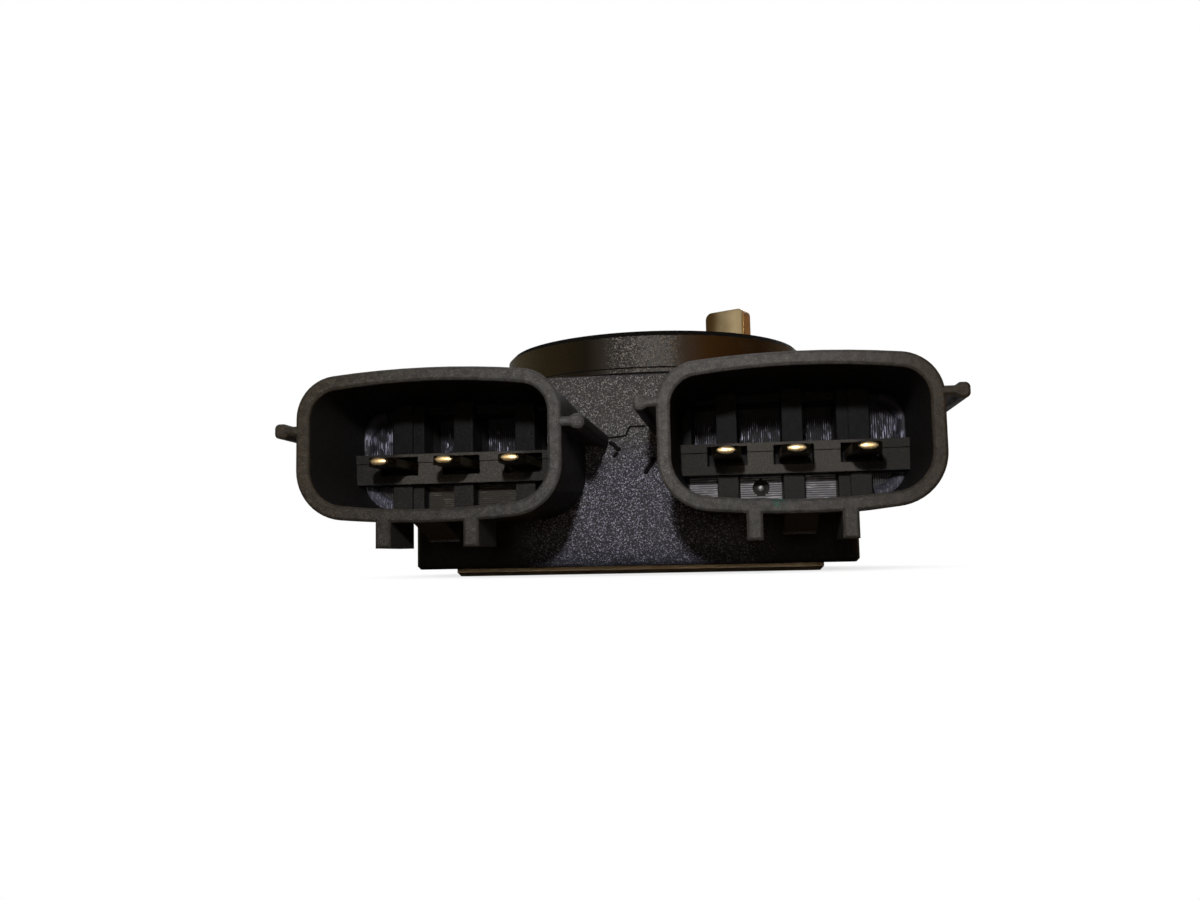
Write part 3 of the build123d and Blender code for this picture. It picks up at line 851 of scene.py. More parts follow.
@dataclass(frozen=True, kw_only=True)
class PolishedMoulding(Toned):
    """Glossy black plastic, as a polished pin leaves it."""

    name: str = "polished_moulding"
    shade: Colour = (0.006, 0.006, 0.007)
    bright: Colour = (0.016, 0.016, 0.018)
    cloud: Cloud = Cloud(0.3, 3.0, 0.35, 0.65)
    relief: Cloud = Cloud(0.15, 2.0)
    depth: float = 0.004
    rough: Cloud = Cloud(0.2, 2.0, 0.34, 0.42)


@dataclass(frozen=True, kw_only=True)
class TornMoulding(Toned):
    """Dark torn plastic in the hairline and the nicks of the front face; also the dark rings round the boss.
    """

    name: str = "torn_moulding"
    shade: Colour = (0.003, 0.003, 0.003)
    bright: Colour = (0.010, 0.009, 0.008)
    cloud: Cloud = Cloud(0.25, 3.0, 0.5, 0.75)
    relief: Cloud = Cloud(0.1, 2.0)
    depth: float = 0.01
    rough: float = 0.85
    shader: Inputs = (("Specular_IOR_Level", 0.05),)


@dataclass(frozen=True, kw_only=True)
class SatinMoulding(Toned):
    """Plain satin plastic with a faint cloud and a fine grain."""

    cloud: Cloud = Cloud(3.0, 5.0)
    relief: Cloud = Cloud(0.15, 3.0)
    depth: float = 0.012
    rough: Cloud = Cloud(1.0, 3.0, 0.4, 0.6)
    edge_round: float = 0.1
    edge_rub: float = 0.35


@dataclass(frozen=True, kw_only=True)
class CoverMoulding(Toned):
    """Tan cover, with painted shade on its lower edge and underneath."""

    name: str = "tan_cover"
    # The tan is the cover's colour, made bright so that it also paints the warm reflection along its front
    # strip.
    shade: Colour = (0.62, 0.48, 0.30)
    bright: Colour = (0.74, 0.60, 0.40)
    grime: Colour = (0.030, 0.022, 0.014)
    cloud: Cloud = Cloud(2.5, 4.0)
    relief: Cloud = Cloud(0.15, 3.0)
    depth: float = 0.01
    rough: Cloud = Cloud(1.0, 3.0, 0.45, 0.62)
    under: Span = (-0.25, -0.6)
    grime_cloud: Cloud = Cloud(1.2, 4.0, 0.8, 1.0)

    def paint(self, web: Shading, rounded: Socket) -> Socket:
        """Lays the grime over the two tones.

        Args:
            web: the material's nodes.
            rounded: the normal with the edges rounded.

        Returns:
            The colour's socket.
        """
        # Painted shade on the downward-facing faces, a little patchy.
        under = web.band(web.parts(web.normal)[2], *self.under)
        patchy = web.times(under, self.grime_cloud.value(web))
        return web.colour(patchy, super().paint(web, rounded), self.grime)


@dataclass(frozen=True, kw_only=True)
class TurnedSteel(Toned):
    """Bright steel with the fine rings that turning leaves."""

    cloud: Cloud = Cloud(1.5, 4.0)
    relief: Rings = Rings()
    depth: float = 0.01
    rough: Cloud = Cloud(0.8, 3.0, 0.22, 0.42)
    edge_round: float = 0.12
    edge_rub: float = 0.6
    shader: Inputs = (METAL,)


@dataclass(frozen=True, kw_only=True)
class DrawnWire(Toned):
    """Dark drawn spring steel with a thin film of oil."""

    name: str = "spring_steel"
    shade: Colour = (0.16, 0.155, 0.15)
    bright: Colour = (0.40, 0.39, 0.37)
    cloud: Cloud = Cloud(0.9, 5.0)
    relief: Cloud = Cloud(0.1, 3.0)
    depth: float = 0.008
    rough: Cloud = Cloud(0.5, 3.0, 0.25, 0.45)
    shader: Inputs = (METAL, ("Coat_Weight", 0.25), ("Coat_Roughness", 0.2))


@dataclass(frozen=True, kw_only=True)
class SinteredBronze(Toned):
    """Porous pressed bronze, darker where it is oiled."""

    name: str = "bronze"
    shade: Colour = (0.30, 0.19, 0.09)
    bright: Colour = (0.58, 0.40, 0.21)
    cloud: Cloud = Cloud(0.9, 4.0)
    relief: Pores = Pores()
    depth: float = 0.02
    rough: float = 0.45
    edge_round: float = 0.1
    shader: Inputs = (METAL,)


@dataclass(frozen=True, kw_only=True)
class PlatedBlade(Toned):
    """Brass strip with a thin plating, painted dark brown as the shade in the pockets that it stands in."""

    name: str = "blade_brass"
    shade: Colour = (0.035, 0.025, 0.013)
    bright: Colour = (0.12, 0.09, 0.05)
    cloud: Cloud = Cloud(0.3, 4.0, squeeze=(1.0, 0.1, 1.0))
    relief: Cloud = Cloud(0.3, 4.0, squeeze=(1.0, 0.1, 1.0))
    depth: float = 0.008
    rough: Cloud = Cloud(0.3, 4.0, 0.3, 0.5, (1.0, 0.1, 1.0))
    edge_round: float = 0.1
    shader: Inputs = (METAL,)


@dataclass(frozen=True, kw_only=True)
class CoinedTip(Toned):
    """Clean pale gold of a blade's tip, where plugs have rubbed it."""

    name: str = "coined_tip"
    shade: Colour = (0.82, 0.56, 0.26)
    bright: Colour = (0.95, 0.80, 0.52)
    cloud: Cloud = Cloud(0.16, 4.0, 0.35, 0.65, (1.0, 1.0, 0.4))
    relief: Cloud = Cloud(0.16, 4.0, squeeze=(1.0, 1.0, 0.4))
    depth: float = 0.006
    rough: Cloud = Cloud(0.4, 3.0, 0.46, 0.56)
    shader: Inputs = (METAL,)


@dataclass(frozen=True, kw_only=True)
class TrackLaminate(Toned):
    """Brown laminate board with two printed carbon tracks and their silver borders."""

    name: str = "board"
    shade: Colour = (0.22, 0.12, 0.04)
    bright: Colour = (0.36, 0.21, 0.08)
    carbon: Colour = (0.012, 0.012, 0.013)
    silver: Colour = (0.55, 0.54, 0.52)
    tracks: tuple[Span, ...] = ((4.5, 5.6), (6.5, 7.6))
    border: float = 0.25
    track_soft: float = 0.03
    on_top: Span = (0.6, 0.8)
    cloud: Cloud = Cloud(0.4, 4.0, squeeze=(1.0, 0.2, 1.0))
    relief: Cloud = Cloud(0.4, 4.0, squeeze=(1.0, 0.2, 1.0))
    depth: float = 0.015
    rough: float = 0.42

    def paint(self, web: Shading, rounded: Socket) -> Socket:
        """Prints the tracks on the laminate.

        Args:
            web: the material's nodes.
            rounded: the normal with the edges rounded.

        Returns:
            The colour's socket.
        """
        colour = super().paint(web, rounded)
        radius = web.radius()
        on_top = web.band(web.parts(web.normal)[2], *self.on_top)
        for inner, outer in self.tracks:
            for film, border in ((self.silver, self.border), (self.carbon, 0.0)):
                printed = web.between(radius, inner - border, outer + border, self.track_soft)
                colour = web.colour(web.times(printed, on_top), colour, film)
        return colour


class Growth(Web):
    """A Geometry Nodes tree that turns points into a dressed mesh, with inputs that are set by identifier."""

    def __init__(self, name: str, **inputs: str) -> None:
        """Starts the tree with the points, its other inputs and a finish.

        Args:
            name: the tree's name.
            inputs: the kind of each other input, by name with underscores for spaces.
        """
        super().__init__(bpy.data.node_groups.new(name, "GeometryNodeTree"))
        sockets = self.tree.interface
        sockets.new_socket("Points", in_out="INPUT", socket_type="NodeSocketGeometry")
        self.identifiers: dict[str, str] = {}
        for label, kind in {**inputs, "Finish": "Material"}.items():
            socket = sockets.new_socket(
                label.replace("_", " "), in_out="INPUT", socket_type=f"NodeSocket{kind}"
            )
            self.identifiers[socket.name] = socket.identifier
        sockets.new_socket("Shapes", in_out="OUTPUT", socket_type="NodeSocketGeometry")
        self.given = self.node("NodeGroupInput").outputs

    def kept(self, name: str, kind: str) -> Socket:
        """Returns an attribute of the points."""
        return self.fill(self.node("GeometryNodeInputNamedAttribute", data_type=kind), Name=name).outputs[0]

    def smooth(self, shape: Socket, smooth: bool) -> Socket:
        """Returns a mesh shaded smooth or flat."""
        node = self.node("GeometryNodeSetShadeSmooth")
        return self.fill(node, Geometry=shape, Shade_Smooth=smooth).outputs[0]

    def end(self, shapes: Socket) -> None:
        """Ends the tree in real, dressed geometry.

        Args:
            shapes: the geometry, which may hold instances.
        """
        real = self.fill(self.node("GeometryNodeRealizeInstances"), Geometry=shapes)
        dressed = self.node("GeometryNodeSetMaterial")
        self.fill(dressed, Geometry=real.outputs[0], Material=self.given["Finish"])
        self.fill(self.node("NodeGroupOutput"), Shapes=dressed.outputs[0])

    def grow(
        self,
        points: Sequence[Vector],
        edges: Sequence[tuple[int, int]],
        attribute: tuple[str, str, str, Sequence[float]],
        inputs: dict[str, Any],
    ) -> Piece:
        """Grows a plain mesh from points and edges.

        Args:
            points: places in millimetres.
            edges: pairs of points that are joined.
            attribute: the name, type, field and values of an attribute kept on the points.
            inputs: a value for each input, by its name.

        Returns:
            The piece, named as the tree, as a plain mesh with no modifier.
        """
        name = self.tree.name
        mesh = bpy.data.meshes.new(name)
        mesh.from_pydata([tuple(point * MM) for point in points], edges, [])
        label, kind, part, numbers = attribute
        mesh.attributes.new(label, kind, "POINT").data.foreach_set(part, numbers)
        piece = bpy.data.objects.new(name, mesh)
        bpy.context.scene.collection.objects.link(piece)
        modifier = piece.modifiers.new(name, "NODES")
        modifier.node_group = self.tree
        for label, value in inputs.items():
            modifier[self.identifiers[label]] = value
        graph = bpy.context.evaluated_depsgraph_get()
        made = bpy.data.meshes.new_from_object(piece.evaluated_get(graph), depsgraph=graph)
        piece.modifiers.remove(modifier)
        piece.data = made
        bpy.data.meshes.remove(mesh)
        made.name = name
        return piece


def swept(
    name: str, strands: Sequence[Strand], radius: float, sides: int, finish: Material, closed: bool = False
) -> Piece:
    """Sweeps a round section along some strands.

    Args:
        name: the piece's name.
        strands: the places along each in millimetres, with the scale of the section there.
        radius: the section's radius in millimetres.
        sides: the number of the section's sides.
        finish: the material.
        closed: whether the end of each strand joins its start.

    Returns:
        The strands as one plain mesh.
    """
    web = Growth(name, Section_radius="Float", Section_sides="Int")
    curve = web.fill(web.node("GeometryNodeMeshToCurve"), Mesh=web.given["Points"])
    section = web.node("GeometryNodeCurvePrimitiveCircle")
    web.fill(section, Resolution=web.given["Section sides"], Radius=web.given["Section radius"])
    wire = web.fill(web.node("GeometryNodeCurveToMesh"), Curve=curve.outputs[0], Fill_Caps=True)
    web.fill(wire, Profile_Curve=section.outputs[0], Scale=web.kept("swell", "FLOAT"))
    web.end(web.smooth(wire.outputs[0], True))
    points: list[Vector] = []
    edges: list[tuple[int, int]] = []
    swells: list[float] = []
    for strand in strands:
        first, count = len(points), len(strand)
        joins = count if closed else count - 1
        edges += [(first + step, first + (step + 1) % count) for step in range(joins)]
        points += [place for place, _ in strand]
        swells += [swell for _, swell in strand]
    inputs = {"Section radius": radius * MM, "Section sides": sides, "Finish": finish}
    return web.grow(points, edges, ("swell", "FLOAT", "value", swells), inputs)


def stamped(
    name: str,
    stamp: Stamp,
    shapes: Sequence[Shape],
    finish: Material,
    spread: Span = (1.0, 1.0),
    seed: int = 0,
) -> Piece:
    """Sets small shapes on points.

    Args:
        name: the piece's name.
        stamp: which shape.
        shapes: the middle and the size of each, in millimetres.
        finish: their material.
        spread: the least and the most that they are stretched along Y.
        seed: the seed of that stretch.

    Returns:
        The shapes as one plain mesh.
    """
    web = Growth(name, Least="Float", Most="Float", Seed="Int")
    if stamp is Stamp.RIDGE:
        shape = web.fill(web.node("GeometryNodeMeshCube"), Size=(1.0, 1.0, 1.0))
    else:
        shape = web.fill(web.node("GeometryNodeMeshUVSphere"), Segments=20, Rings=12, Radius=0.5)
    stretch = web.node("FunctionNodeRandomValue", data_type="FLOAT")
    web.feed(stretch.inputs[2], web.given["Least"])
    web.feed(stretch.inputs[3], web.given["Most"])
    web.feed(stretch.inputs["Seed"], web.given["Seed"])
    size = web.vector("MULTIPLY", web.kept("size", "FLOAT_VECTOR"), web.joined(1.0, stretch.outputs[1], 1.0))
    stood = web.node("GeometryNodeInstanceOnPoints")
    smooth = web.smooth(shape.outputs[0], stamp is Stamp.DOME)
    web.end(web.fill(stood, Points=web.given["Points"], Instance=smooth, Scale=size).outputs[0])
    points = [place for place, _ in shapes]
    sizes = [value * MM for _, size in shapes for value in size]
    inputs = {"Least": spread[0], "Most": spread[1], "Seed": seed, "Finish": finish}
    return web.grow(points, [], ("size", "FLOAT_VECTOR", "vector", sizes), inputs)


def round_z(radius: float, angle: float, height: float) -> Vector:
    """Returns the place at an angle and a radius about the rotor axis."""
    return Vector((radius * math.cos(angle), radius * math.sin(angle), height))


def dress(node: str, material: Material) -> None:
    """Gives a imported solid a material.

    Args:
        node: the solid's name.
        material: the material.
    """
    mesh = frame["nodes"][node].data
    mesh.materials.clear()
    mesh.materials.append(material)
    log.info("%s: %s", node, material.name)


@dataclass
class Housing:
    """The black moulding, with the tool lines in its sockets and the marks on its front face.

    Places in a socket are measured from its centre, and across it they are negative on the outer side.
    """

    face_y: float = -16.0
    floor_y: float = -17.8
    core_y: float = -13.8
    outer_panel: tuple[Span, ...] = ((-8.9, -6.4),)
    cores: tuple[Span, ...] = ((-3.55, -0.95), (0.95, 4.5), (6.4, 8.4))
    level_panels: tuple[Span, ...] = ((-3.5, -1.0), (1.0, 4.45), (6.4, 8.75))
    upper_heights: Span = (0.32, 4.2)
    core_heights: Span = (0.32, 3.95)
    lower_heights: Span = (-4.3, -2.35)
    corner_start: float = 7.2
    corner_drop: float = 0.5
    line_pitch: float = 0.19
    line_width: float = 0.09
    level_width: float = 0.13
    line_height: float = 0.09
    line_spread: Span = (0.5, 1.3)
    line_seed: int = 7
    hairline: tuple[Span, ...] = (
        (-3.01, 12.01), (-1.81, 12.11), (-1.36, 12.19), (-1.17, 12.66), (-0.98, 12.96), (0.44, 12.96),
    )
    gash: tuple[Span, ...] = ((1.12, 10.19), (0.89, 9.62), (0.52, 9.23), (0.25, 8.71))
    hook: tuple[Span, ...] = ((-2.89, 11.62), (-2.45, 11.41), (-2.15, 11.0), (-1.83, 10.96))
    hook_tail: tuple[Span, ...] = ((-2.1, 10.74), (-2.56, 10.26))
    mark_radius: float = 0.085
    mark_sides: int = 6
    hairline_weight: float = 1.2
    gash_weight: float = 2.7
    hook_weight: float = 2.6
    hook_tail_weight: float = 1.9
    mark_taper: float = 0.12
    mark_end: float = 0.3
    ejector_across: float = 2.725
    ejector_height: float = -3.3
    ejector_radius: float = 0.72
    ejector_floor_y: float = -16.9
    pip_size: Point = (0.84, 0.28, 0.84)
    bead_across: float = -9.27
    bead_radius: float = 0.75
    bead_sides: int = 24
    bead_top: Span = (1.8, 2.25)
    bead_bottom: Span = (-1.3, 2.95)
    bead_turn: float = 84.0
    bead_steps: int = 12
    seams: tuple[Span, ...] = ((15.33, 17.86), (15.02, 18.4))
    seam_radius: float = 0.07
    seam_sides: int = 6
    seam_steps: int = 96
    upright: Point = (1.0, 1.0, 0.14)
    level: Point = (0.14, 1.0, 1.0)
    upper_left: Colour = (0.0145, 0.0145, 0.0195)
    upper_right: Colour = (0.0105, 0.0105, 0.0143)
    lower_left: Colour = (0.026, 0.023, 0.019)
    lower_right: Colour = (0.115, 0.112, 0.123)
    core_gain: float = 36.0
    # The upper lines go dark under the socket's roof: painted shade.
    core_dark_z: Span = (13.5, 12.3)
    corner_gain: float = 22.0
    corner_dark_z: Span = (13.2, 12.0)
    corner_calm_z: Span = (9.4, 8.6)
    foot_gain: float = 1.6
    foot_outer_x: Span = (18.8, 19.4)

    def upright_lines(self, spans: Iterable[Span], heights: Span, depth: float) -> list[Shape]:
        """Rules upright lines over some panels, which end in round corners.

        Args:
            spans: where each panel starts and ends across the socket.
            heights: the lower and upper end of the lines.
            depth: Y of the panels.

        Returns:
            The middle and the size of each line.
        """
        lines = []
        for low, high in spans:
            for step in range(int((high - low) / self.line_pitch) + 1):
                across = low + step * self.line_pitch
                bottom, top = heights
                drop = self.corner_drop * max(0.0, abs(across) - self.corner_start) ** 2
                if bottom < 0:
                    bottom += drop
                else:
                    top -= drop
                middle = Vector((across, depth, (bottom + top) / 2))
                lines.append((middle, Vector((self.line_width, self.line_height, top - bottom))))
        return lines

    def level_lines(self, spans: Iterable[Span], heights: Span, depth: float) -> list[Shape]:
        """Rules level lines over some panels.

        Args:
            spans: where each panel starts and ends across the socket.
            heights: the lower and upper end of the panels.
            depth: Y of the panels.

        Returns:
            The middle and the size of each line.
        """
        lines = []
        bottom, top = heights
        for step in range(int((top - bottom) / self.line_pitch) + 1):
            height = bottom + step * self.line_pitch
            for low, high in spans:
                middle = Vector(((low + high) / 2, depth, height))
                lines.append((middle, Vector((high - low, self.line_height, self.level_width))))
        return lines

    def around_ejector(self, lines: Iterable[Shape]) -> list[Shape]:
        """Leaves a gap in level lines where they would cross the ejector mark.

        Args:
            lines: the middle and the size of each line.

        Returns:
            The same for the lines and the pieces of lines that are left.
        """
        kept = []
        for middle, size in lines:
            low, high = middle.x - size.x / 2, middle.x + size.x / 2
            off = abs(middle.z - self.ejector_height)
            half = math.sqrt(max(0.0, self.ejector_radius**2 - off**2))
            ends = [(low, self.ejector_across - half), (self.ejector_across + half, high)]
            if half == 0.0 or not low < self.ejector_across < high:
                ends = [(low, high)]
            for start, end in ends:
                place = Vector(((start + end) / 2, middle.y, middle.z))
                kept.append((place, Vector((end - start, size.y, size.z))))
        return kept

    def upper_lines(self) -> list[Shape]:
        """Returns the lines above the shelf, on the floor and in the cores."""
        lines = self.upright_lines(self.outer_panel, self.upper_heights, self.floor_y)
        return lines + self.upright_lines(self.cores, self.core_heights, self.core_y)

    def lower_lines(self, side: Side) -> list[Shape]:
        """Rules the panels below the shelf of one socket.

        Args:
            side: which connector.

        Returns:
            The middle and the size of each line.
        """
        level = self.level_lines(self.level_panels, self.lower_heights, self.floor_y)
        if side is Side.RIGHT:
            level = self.around_ejector(level)
        return level + self.upright_lines(self.outer_panel, self.lower_heights, self.floor_y)

    def tool_lines(self, name: str, side: Side, lines: Iterable[Shape], finish: Material) -> Piece:
        """Stands fine tool lines in one socket.

        Args:
            name: the piece's name, without its side.
            side: which connector.
            lines: the middle and the size of each line, from the middle of the socket.
            finish: the lines' material.

        Returns:
            The lines as one mesh.
        """
        shapes = [(side.place(*at), size) for at, size in lines]
        label = f"{name}_{side.label}"
        return stamped(label, Stamp.RIDGE, shapes, finish, self.line_spread, self.line_seed + side.value)

    def ejector_pip(self, finish: Material) -> Piece:
        """Returns the small dome at the bottom of the ejector mark in the right socket."""
        place = Side.RIGHT.place(self.ejector_across, self.ejector_floor_y, self.ejector_height)
        return stamped("ejector_pip", Stamp.DOME, [(place, Vector(self.pip_size))], finish)

    def tapered(self, line: Sequence[Span], weight: float) -> Strand:
        """Gives a mark on the front face thin ends.

        Args:
            line: X and Z of the mark's corners.
            weight: the mark's thickness.

        Returns:
            The places along the mark with the thickness at each.
        """
        corners = [Vector((across, self.face_y, height)) for across, height in line]
        first = corners[0] + (corners[1] - corners[0]).normalized() * self.mark_taper
        last = corners[-1] + (corners[-2] - corners[-1]).normalized() * self.mark_taper
        inner = [(corner, weight) for corner in (first, *corners[1:-1], last)]
        return [(corners[0], weight * self.mark_end), *inner, (corners[-1], weight * self.mark_end)]

    def marks(self, finish: Material) -> Piece:
        """Draws the hairline and the nicks on the face between the connectors.

        Args:
            finish: the marks' material.

        Returns:
            The marks, as fine strands half sunk in the face.
        """
        strands = [
            self.tapered(self.hairline, self.hairline_weight),
            self.tapered(self.gash, self.gash_weight),
            self.tapered(self.hook, self.hook_weight),
            self.tapered(self.hook_tail, self.hook_tail_weight),
        ]
        return swept("face_marks", strands, self.mark_radius, self.mark_sides, finish)

    def corner_bead(self, side: Side, finish: Material) -> Piece:
        """Rounds the corner between the floor and the outer wall of one socket.

        Args:
            side: which connector.
            finish: the corner's material.

        Returns:
            The rounded corner, which follows the wall up from the lower bend to the upper one.
        """
        strand = []
        for (height, radius), sign in ((self.bead_bottom, -1), (self.bead_top, 1)):
            for step in range(self.bead_steps + 1):
                turned = step if sign > 0 else self.bead_steps - step
                angle = math.radians(self.bead_turn) * turned / self.bead_steps
                across = self.bead_across + radius * (1 - math.cos(angle))
                rise = height + sign * radius * math.sin(angle)
                strand.append((side.place(across, self.floor_y, rise), 1.0))
        return swept(f"corner_bead_{side.label}", [strand], self.bead_radius, self.bead_sides, finish)

    def boss_seams(self, finish: Material) -> Piece:
        """Lays the dark lines round the foot and the top of the boss's collar, the lower one as painted
        shade.

        Args:
            finish: the lines' material.

        Returns:
            The two rings.
        """
        angles = [math.tau * step / self.seam_steps for step in range(self.seam_steps)]
        rings = [[(round_z(radius, angle, height), 1.0) for angle in angles] for radius, height in self.seams]
        return swept("boss_seams", rings, self.seam_radius, self.seam_sides, finish, closed=True)

    def panels(self) -> tuple[Material, Material, Material]:
        """Mixes the finishes of the lined panels.

        Returns:
            The materials of the upper lines, the lower lines and the rounded corners.
        """
        upper = {"left": self.upper_left, "right": self.upper_right, "streak": self.upright}
        lower = {"left": self.lower_left, "right": self.lower_right, "streak": self.level}
        core = LinedPanel(name="lined_core", gain=self.core_gain, dark_z=self.core_dark_z, **upper)
        foot = LinedPanel(name="lined_foot", gain=self.foot_gain, outer_x=self.foot_outer_x, **lower)
        limits = {"dark_z": self.corner_dark_z, "calm_z": self.corner_calm_z}
        corner = LinedPanel(name="lined_corner", gain=self.corner_gain, **upper, **limits)
        return core.material(), foot.material(), corner.material()

    def build(self) -> None:
        """Dresses the moulding and adds the pieces that ride with it."""
        dress("housing", SparkErodedMoulding().material())
        core, foot, corner = self.panels()
        torn = TornMoulding().material()
        pieces = [self.marks(torn), self.boss_seams(torn), self.ejector_pip(PolishedMoulding().material())]
        for side in Side:
            pieces.append(self.corner_bead(side, corner))
            pieces.append(self.tool_lines("core_lines", side, self.upper_lines(), core))
            pieces.append(self.tool_lines("foot_lines", side, self.lower_lines(side), foot))
        for piece in pieces:
            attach(piece, Body.SENSOR.value)
            log.info("%s: %d faces", piece.name, len(piece.data.polygons))


@dataclass
class ReturnSpring:
    """The torsion spring round the bearing tower, with a straight leg at each end."""

    wire: float = 0.8
    radius: float = 6.4344
    start_z: float = 13.0
    pitch: float = 0.9
    turns: float = 2.25
    start_angle: float = -129.0
    leg: float = 5.5
    steps: int = 32
    sides: int = 14

    def path(self) -> Strand:
        """Winds the wire's middle line.

        Returns:
            Its places, from the end of one leg to the end of the other, with the scale of the wire.
        """
        start = math.radians(self.start_angle)
        points = []
        for step in range(int(self.steps * self.turns) + 1):
            turn = step / self.steps
            points.append(round_z(self.radius, start + math.tau * turn, self.start_z + self.pitch * turn))
        along = Vector((0.0, math.tau * self.radius, self.pitch)).normalized() * self.leg
        first = Matrix.Rotation(start, 3, "Z") @ along
        last = Matrix.Rotation(start + math.tau * self.turns, 3, "Z") @ along
        return [(point, 1.0) for point in (points[0] - first, *points, points[-1] + last)]

    def build(self) -> None:
        """Sweeps the wire and hides the imported spring in its place."""
        wire = swept("return_spring_wire", [self.path()], self.wire / 2, self.sides, DrawnWire().material())
        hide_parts("return_spring")
        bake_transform(wire)
        log.info("%s: %d faces", wire.name, len(wire.data.polygons))


@dataclass
class Rotor:
    """The pieces that turn: lever, shaft, clip, carrier and brushes."""

    shaft_shade: Colour = (0.48, 0.47, 0.46)
    shaft_bright: Colour = (0.62, 0.61, 0.59)
    carrier_shade: Colour = (0.46, 0.41, 0.32)
    carrier_bright: Colour = (0.60, 0.55, 0.45)

    def build(self) -> None:
        """Dresses the turning solids."""
        shaft = TurnedSteel(name="shaft_steel", shade=self.shaft_shade, bright=self.shaft_bright)
        carrier = SatinMoulding(name="carrier_plastic", shade=self.carrier_shade, bright=self.carrier_bright)
        dress("drive_lever", PassivatedSheet().material())
        dress("rotor_shaft", shaft.material())
        dress("wiper_carrier", carrier.material())
        # The clip and the brushes keep the plain materials that they are packed with.
        dress("retaining_clip", bpy.data.materials["spring_steel"])
        for name in ("sensor_brush", "switch_brush"):
            dress(name, bpy.data.materials["blade_brass"])


@dataclass
class FixedPieces:
    """The solids held in the housing: terminals, cover, seal, board, bearing and sleeves."""

    ways: int = 3
    blade_pitch: float = 5.45
    blade_thickness: float = 0.64
    nose_size: Point = (1.56, 0.5, 0.62)
    nose_setback: float = 0.14
    seal_shade: Colour = (0.012, 0.012, 0.012)
    seal_bright: Colour = (0.03, 0.03, 0.03)
    seal_rough: Cloud = Cloud(1.0, 3.0, 0.5, 0.7)
    washer_shade: Colour = (0.36, 0.355, 0.35)
    washer_bright: Colour = (0.60, 0.59, 0.57)
    sleeve_shade: Colour = (0.40, 0.39, 0.37)
    sleeve_bright: Colour = (0.62, 0.61, 0.58)

    def noses(self, finish: Material) -> Piece:
        """Rounds the tips of the blades.

        Args:
            finish: the tips' material.

        Returns:
            The six rounded tips.
        """
        shapes = []
        for side in Side:
            centre = mount_place(f"{side.label}_socket")
            for way in range(1, self.ways + 1):
                low, high = (Vector(corner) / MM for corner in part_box(f"terminal_{side.label}_{way}"))
                across = centre.x + (way - (self.ways + 1) / 2) * self.blade_pitch
                place = Vector((across, low.y + self.nose_setback, high.z - self.blade_thickness / 2))
                shapes.append((place, Vector(self.nose_size)))
        return stamped("blade_noses", Stamp.DOME, shapes, finish)

    def dress_sleeves(self) -> None:
        """Dresses each sleeve in steel that was turned about the sleeve's own axis."""
        for side in Side:
            node = f"mount_sleeve_{side.label}"
            low, high = (Vector(corner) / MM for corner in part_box(node))
            middle = (low + high) / 2
            steel = TurnedSteel(
                name=f"sleeve_steel_{side.label}",
                shade=self.sleeve_shade,
                bright=self.sleeve_bright,
                relief=Rings(axis=(middle.x, middle.y)),
            )
            dress(node, steel.material())

    def build(self) -> None:
        """Dresses the fixed solids and rounds the blades' tips."""
        blade = PlatedBlade().material()
        for side in Side:
            for way in range(1, self.ways + 1):
                dress(f"terminal_{side.label}_{way}", blade)
        noses = self.noses(CoinedTip().material())
        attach(noses, Body.SENSOR.value)
        log.info("%s: %d faces", noses.name, len(noses.data.polygons))
        seal = SatinMoulding(
            name="seal_resin", shade=self.seal_shade, bright=self.seal_bright, rough=self.seal_rough
        )
        washer = TurnedSteel(name="washer_steel", shade=self.washer_shade, bright=self.washer_bright)
        dress("cover_plate", CoverMoulding().material())
        dress("cover_seal", seal.material())
        dress("track_board", TrackLaminate().material())
        dress("bearing_bush", SinteredBronze().material())
        dress("thrust_washer", washer.material())
        self.dress_sleeves()


@dataclass
class Lamp:
    """A soft round lamp aimed at a place. Lengths are millimetres."""

    name: str
    place: Point
    target: Point
    width: float
    level: float
    colour: Colour = WHITE

    def build(self) -> None:
        """Adds the lamp, with a power that lights a white card at the target to the given level."""
        lamp = bpy.data.lights.new(self.name, "AREA")
        lamp.shape = "DISK"
        lamp.size = self.width * MM
        reach = (Vector(self.target) - Vector(self.place)) * MM
        lamp.energy = self.level * (math.pi * reach.length) ** 2
        lamp.color = self.colour
        holder = bpy.data.objects.new(self.name, lamp)
        holder.location = Vector(self.place) * MM
        holder.rotation_euler = reach.to_track_quat("-Z", "Y").to_euler()
        bpy.context.scene.collection.objects.link(holder)


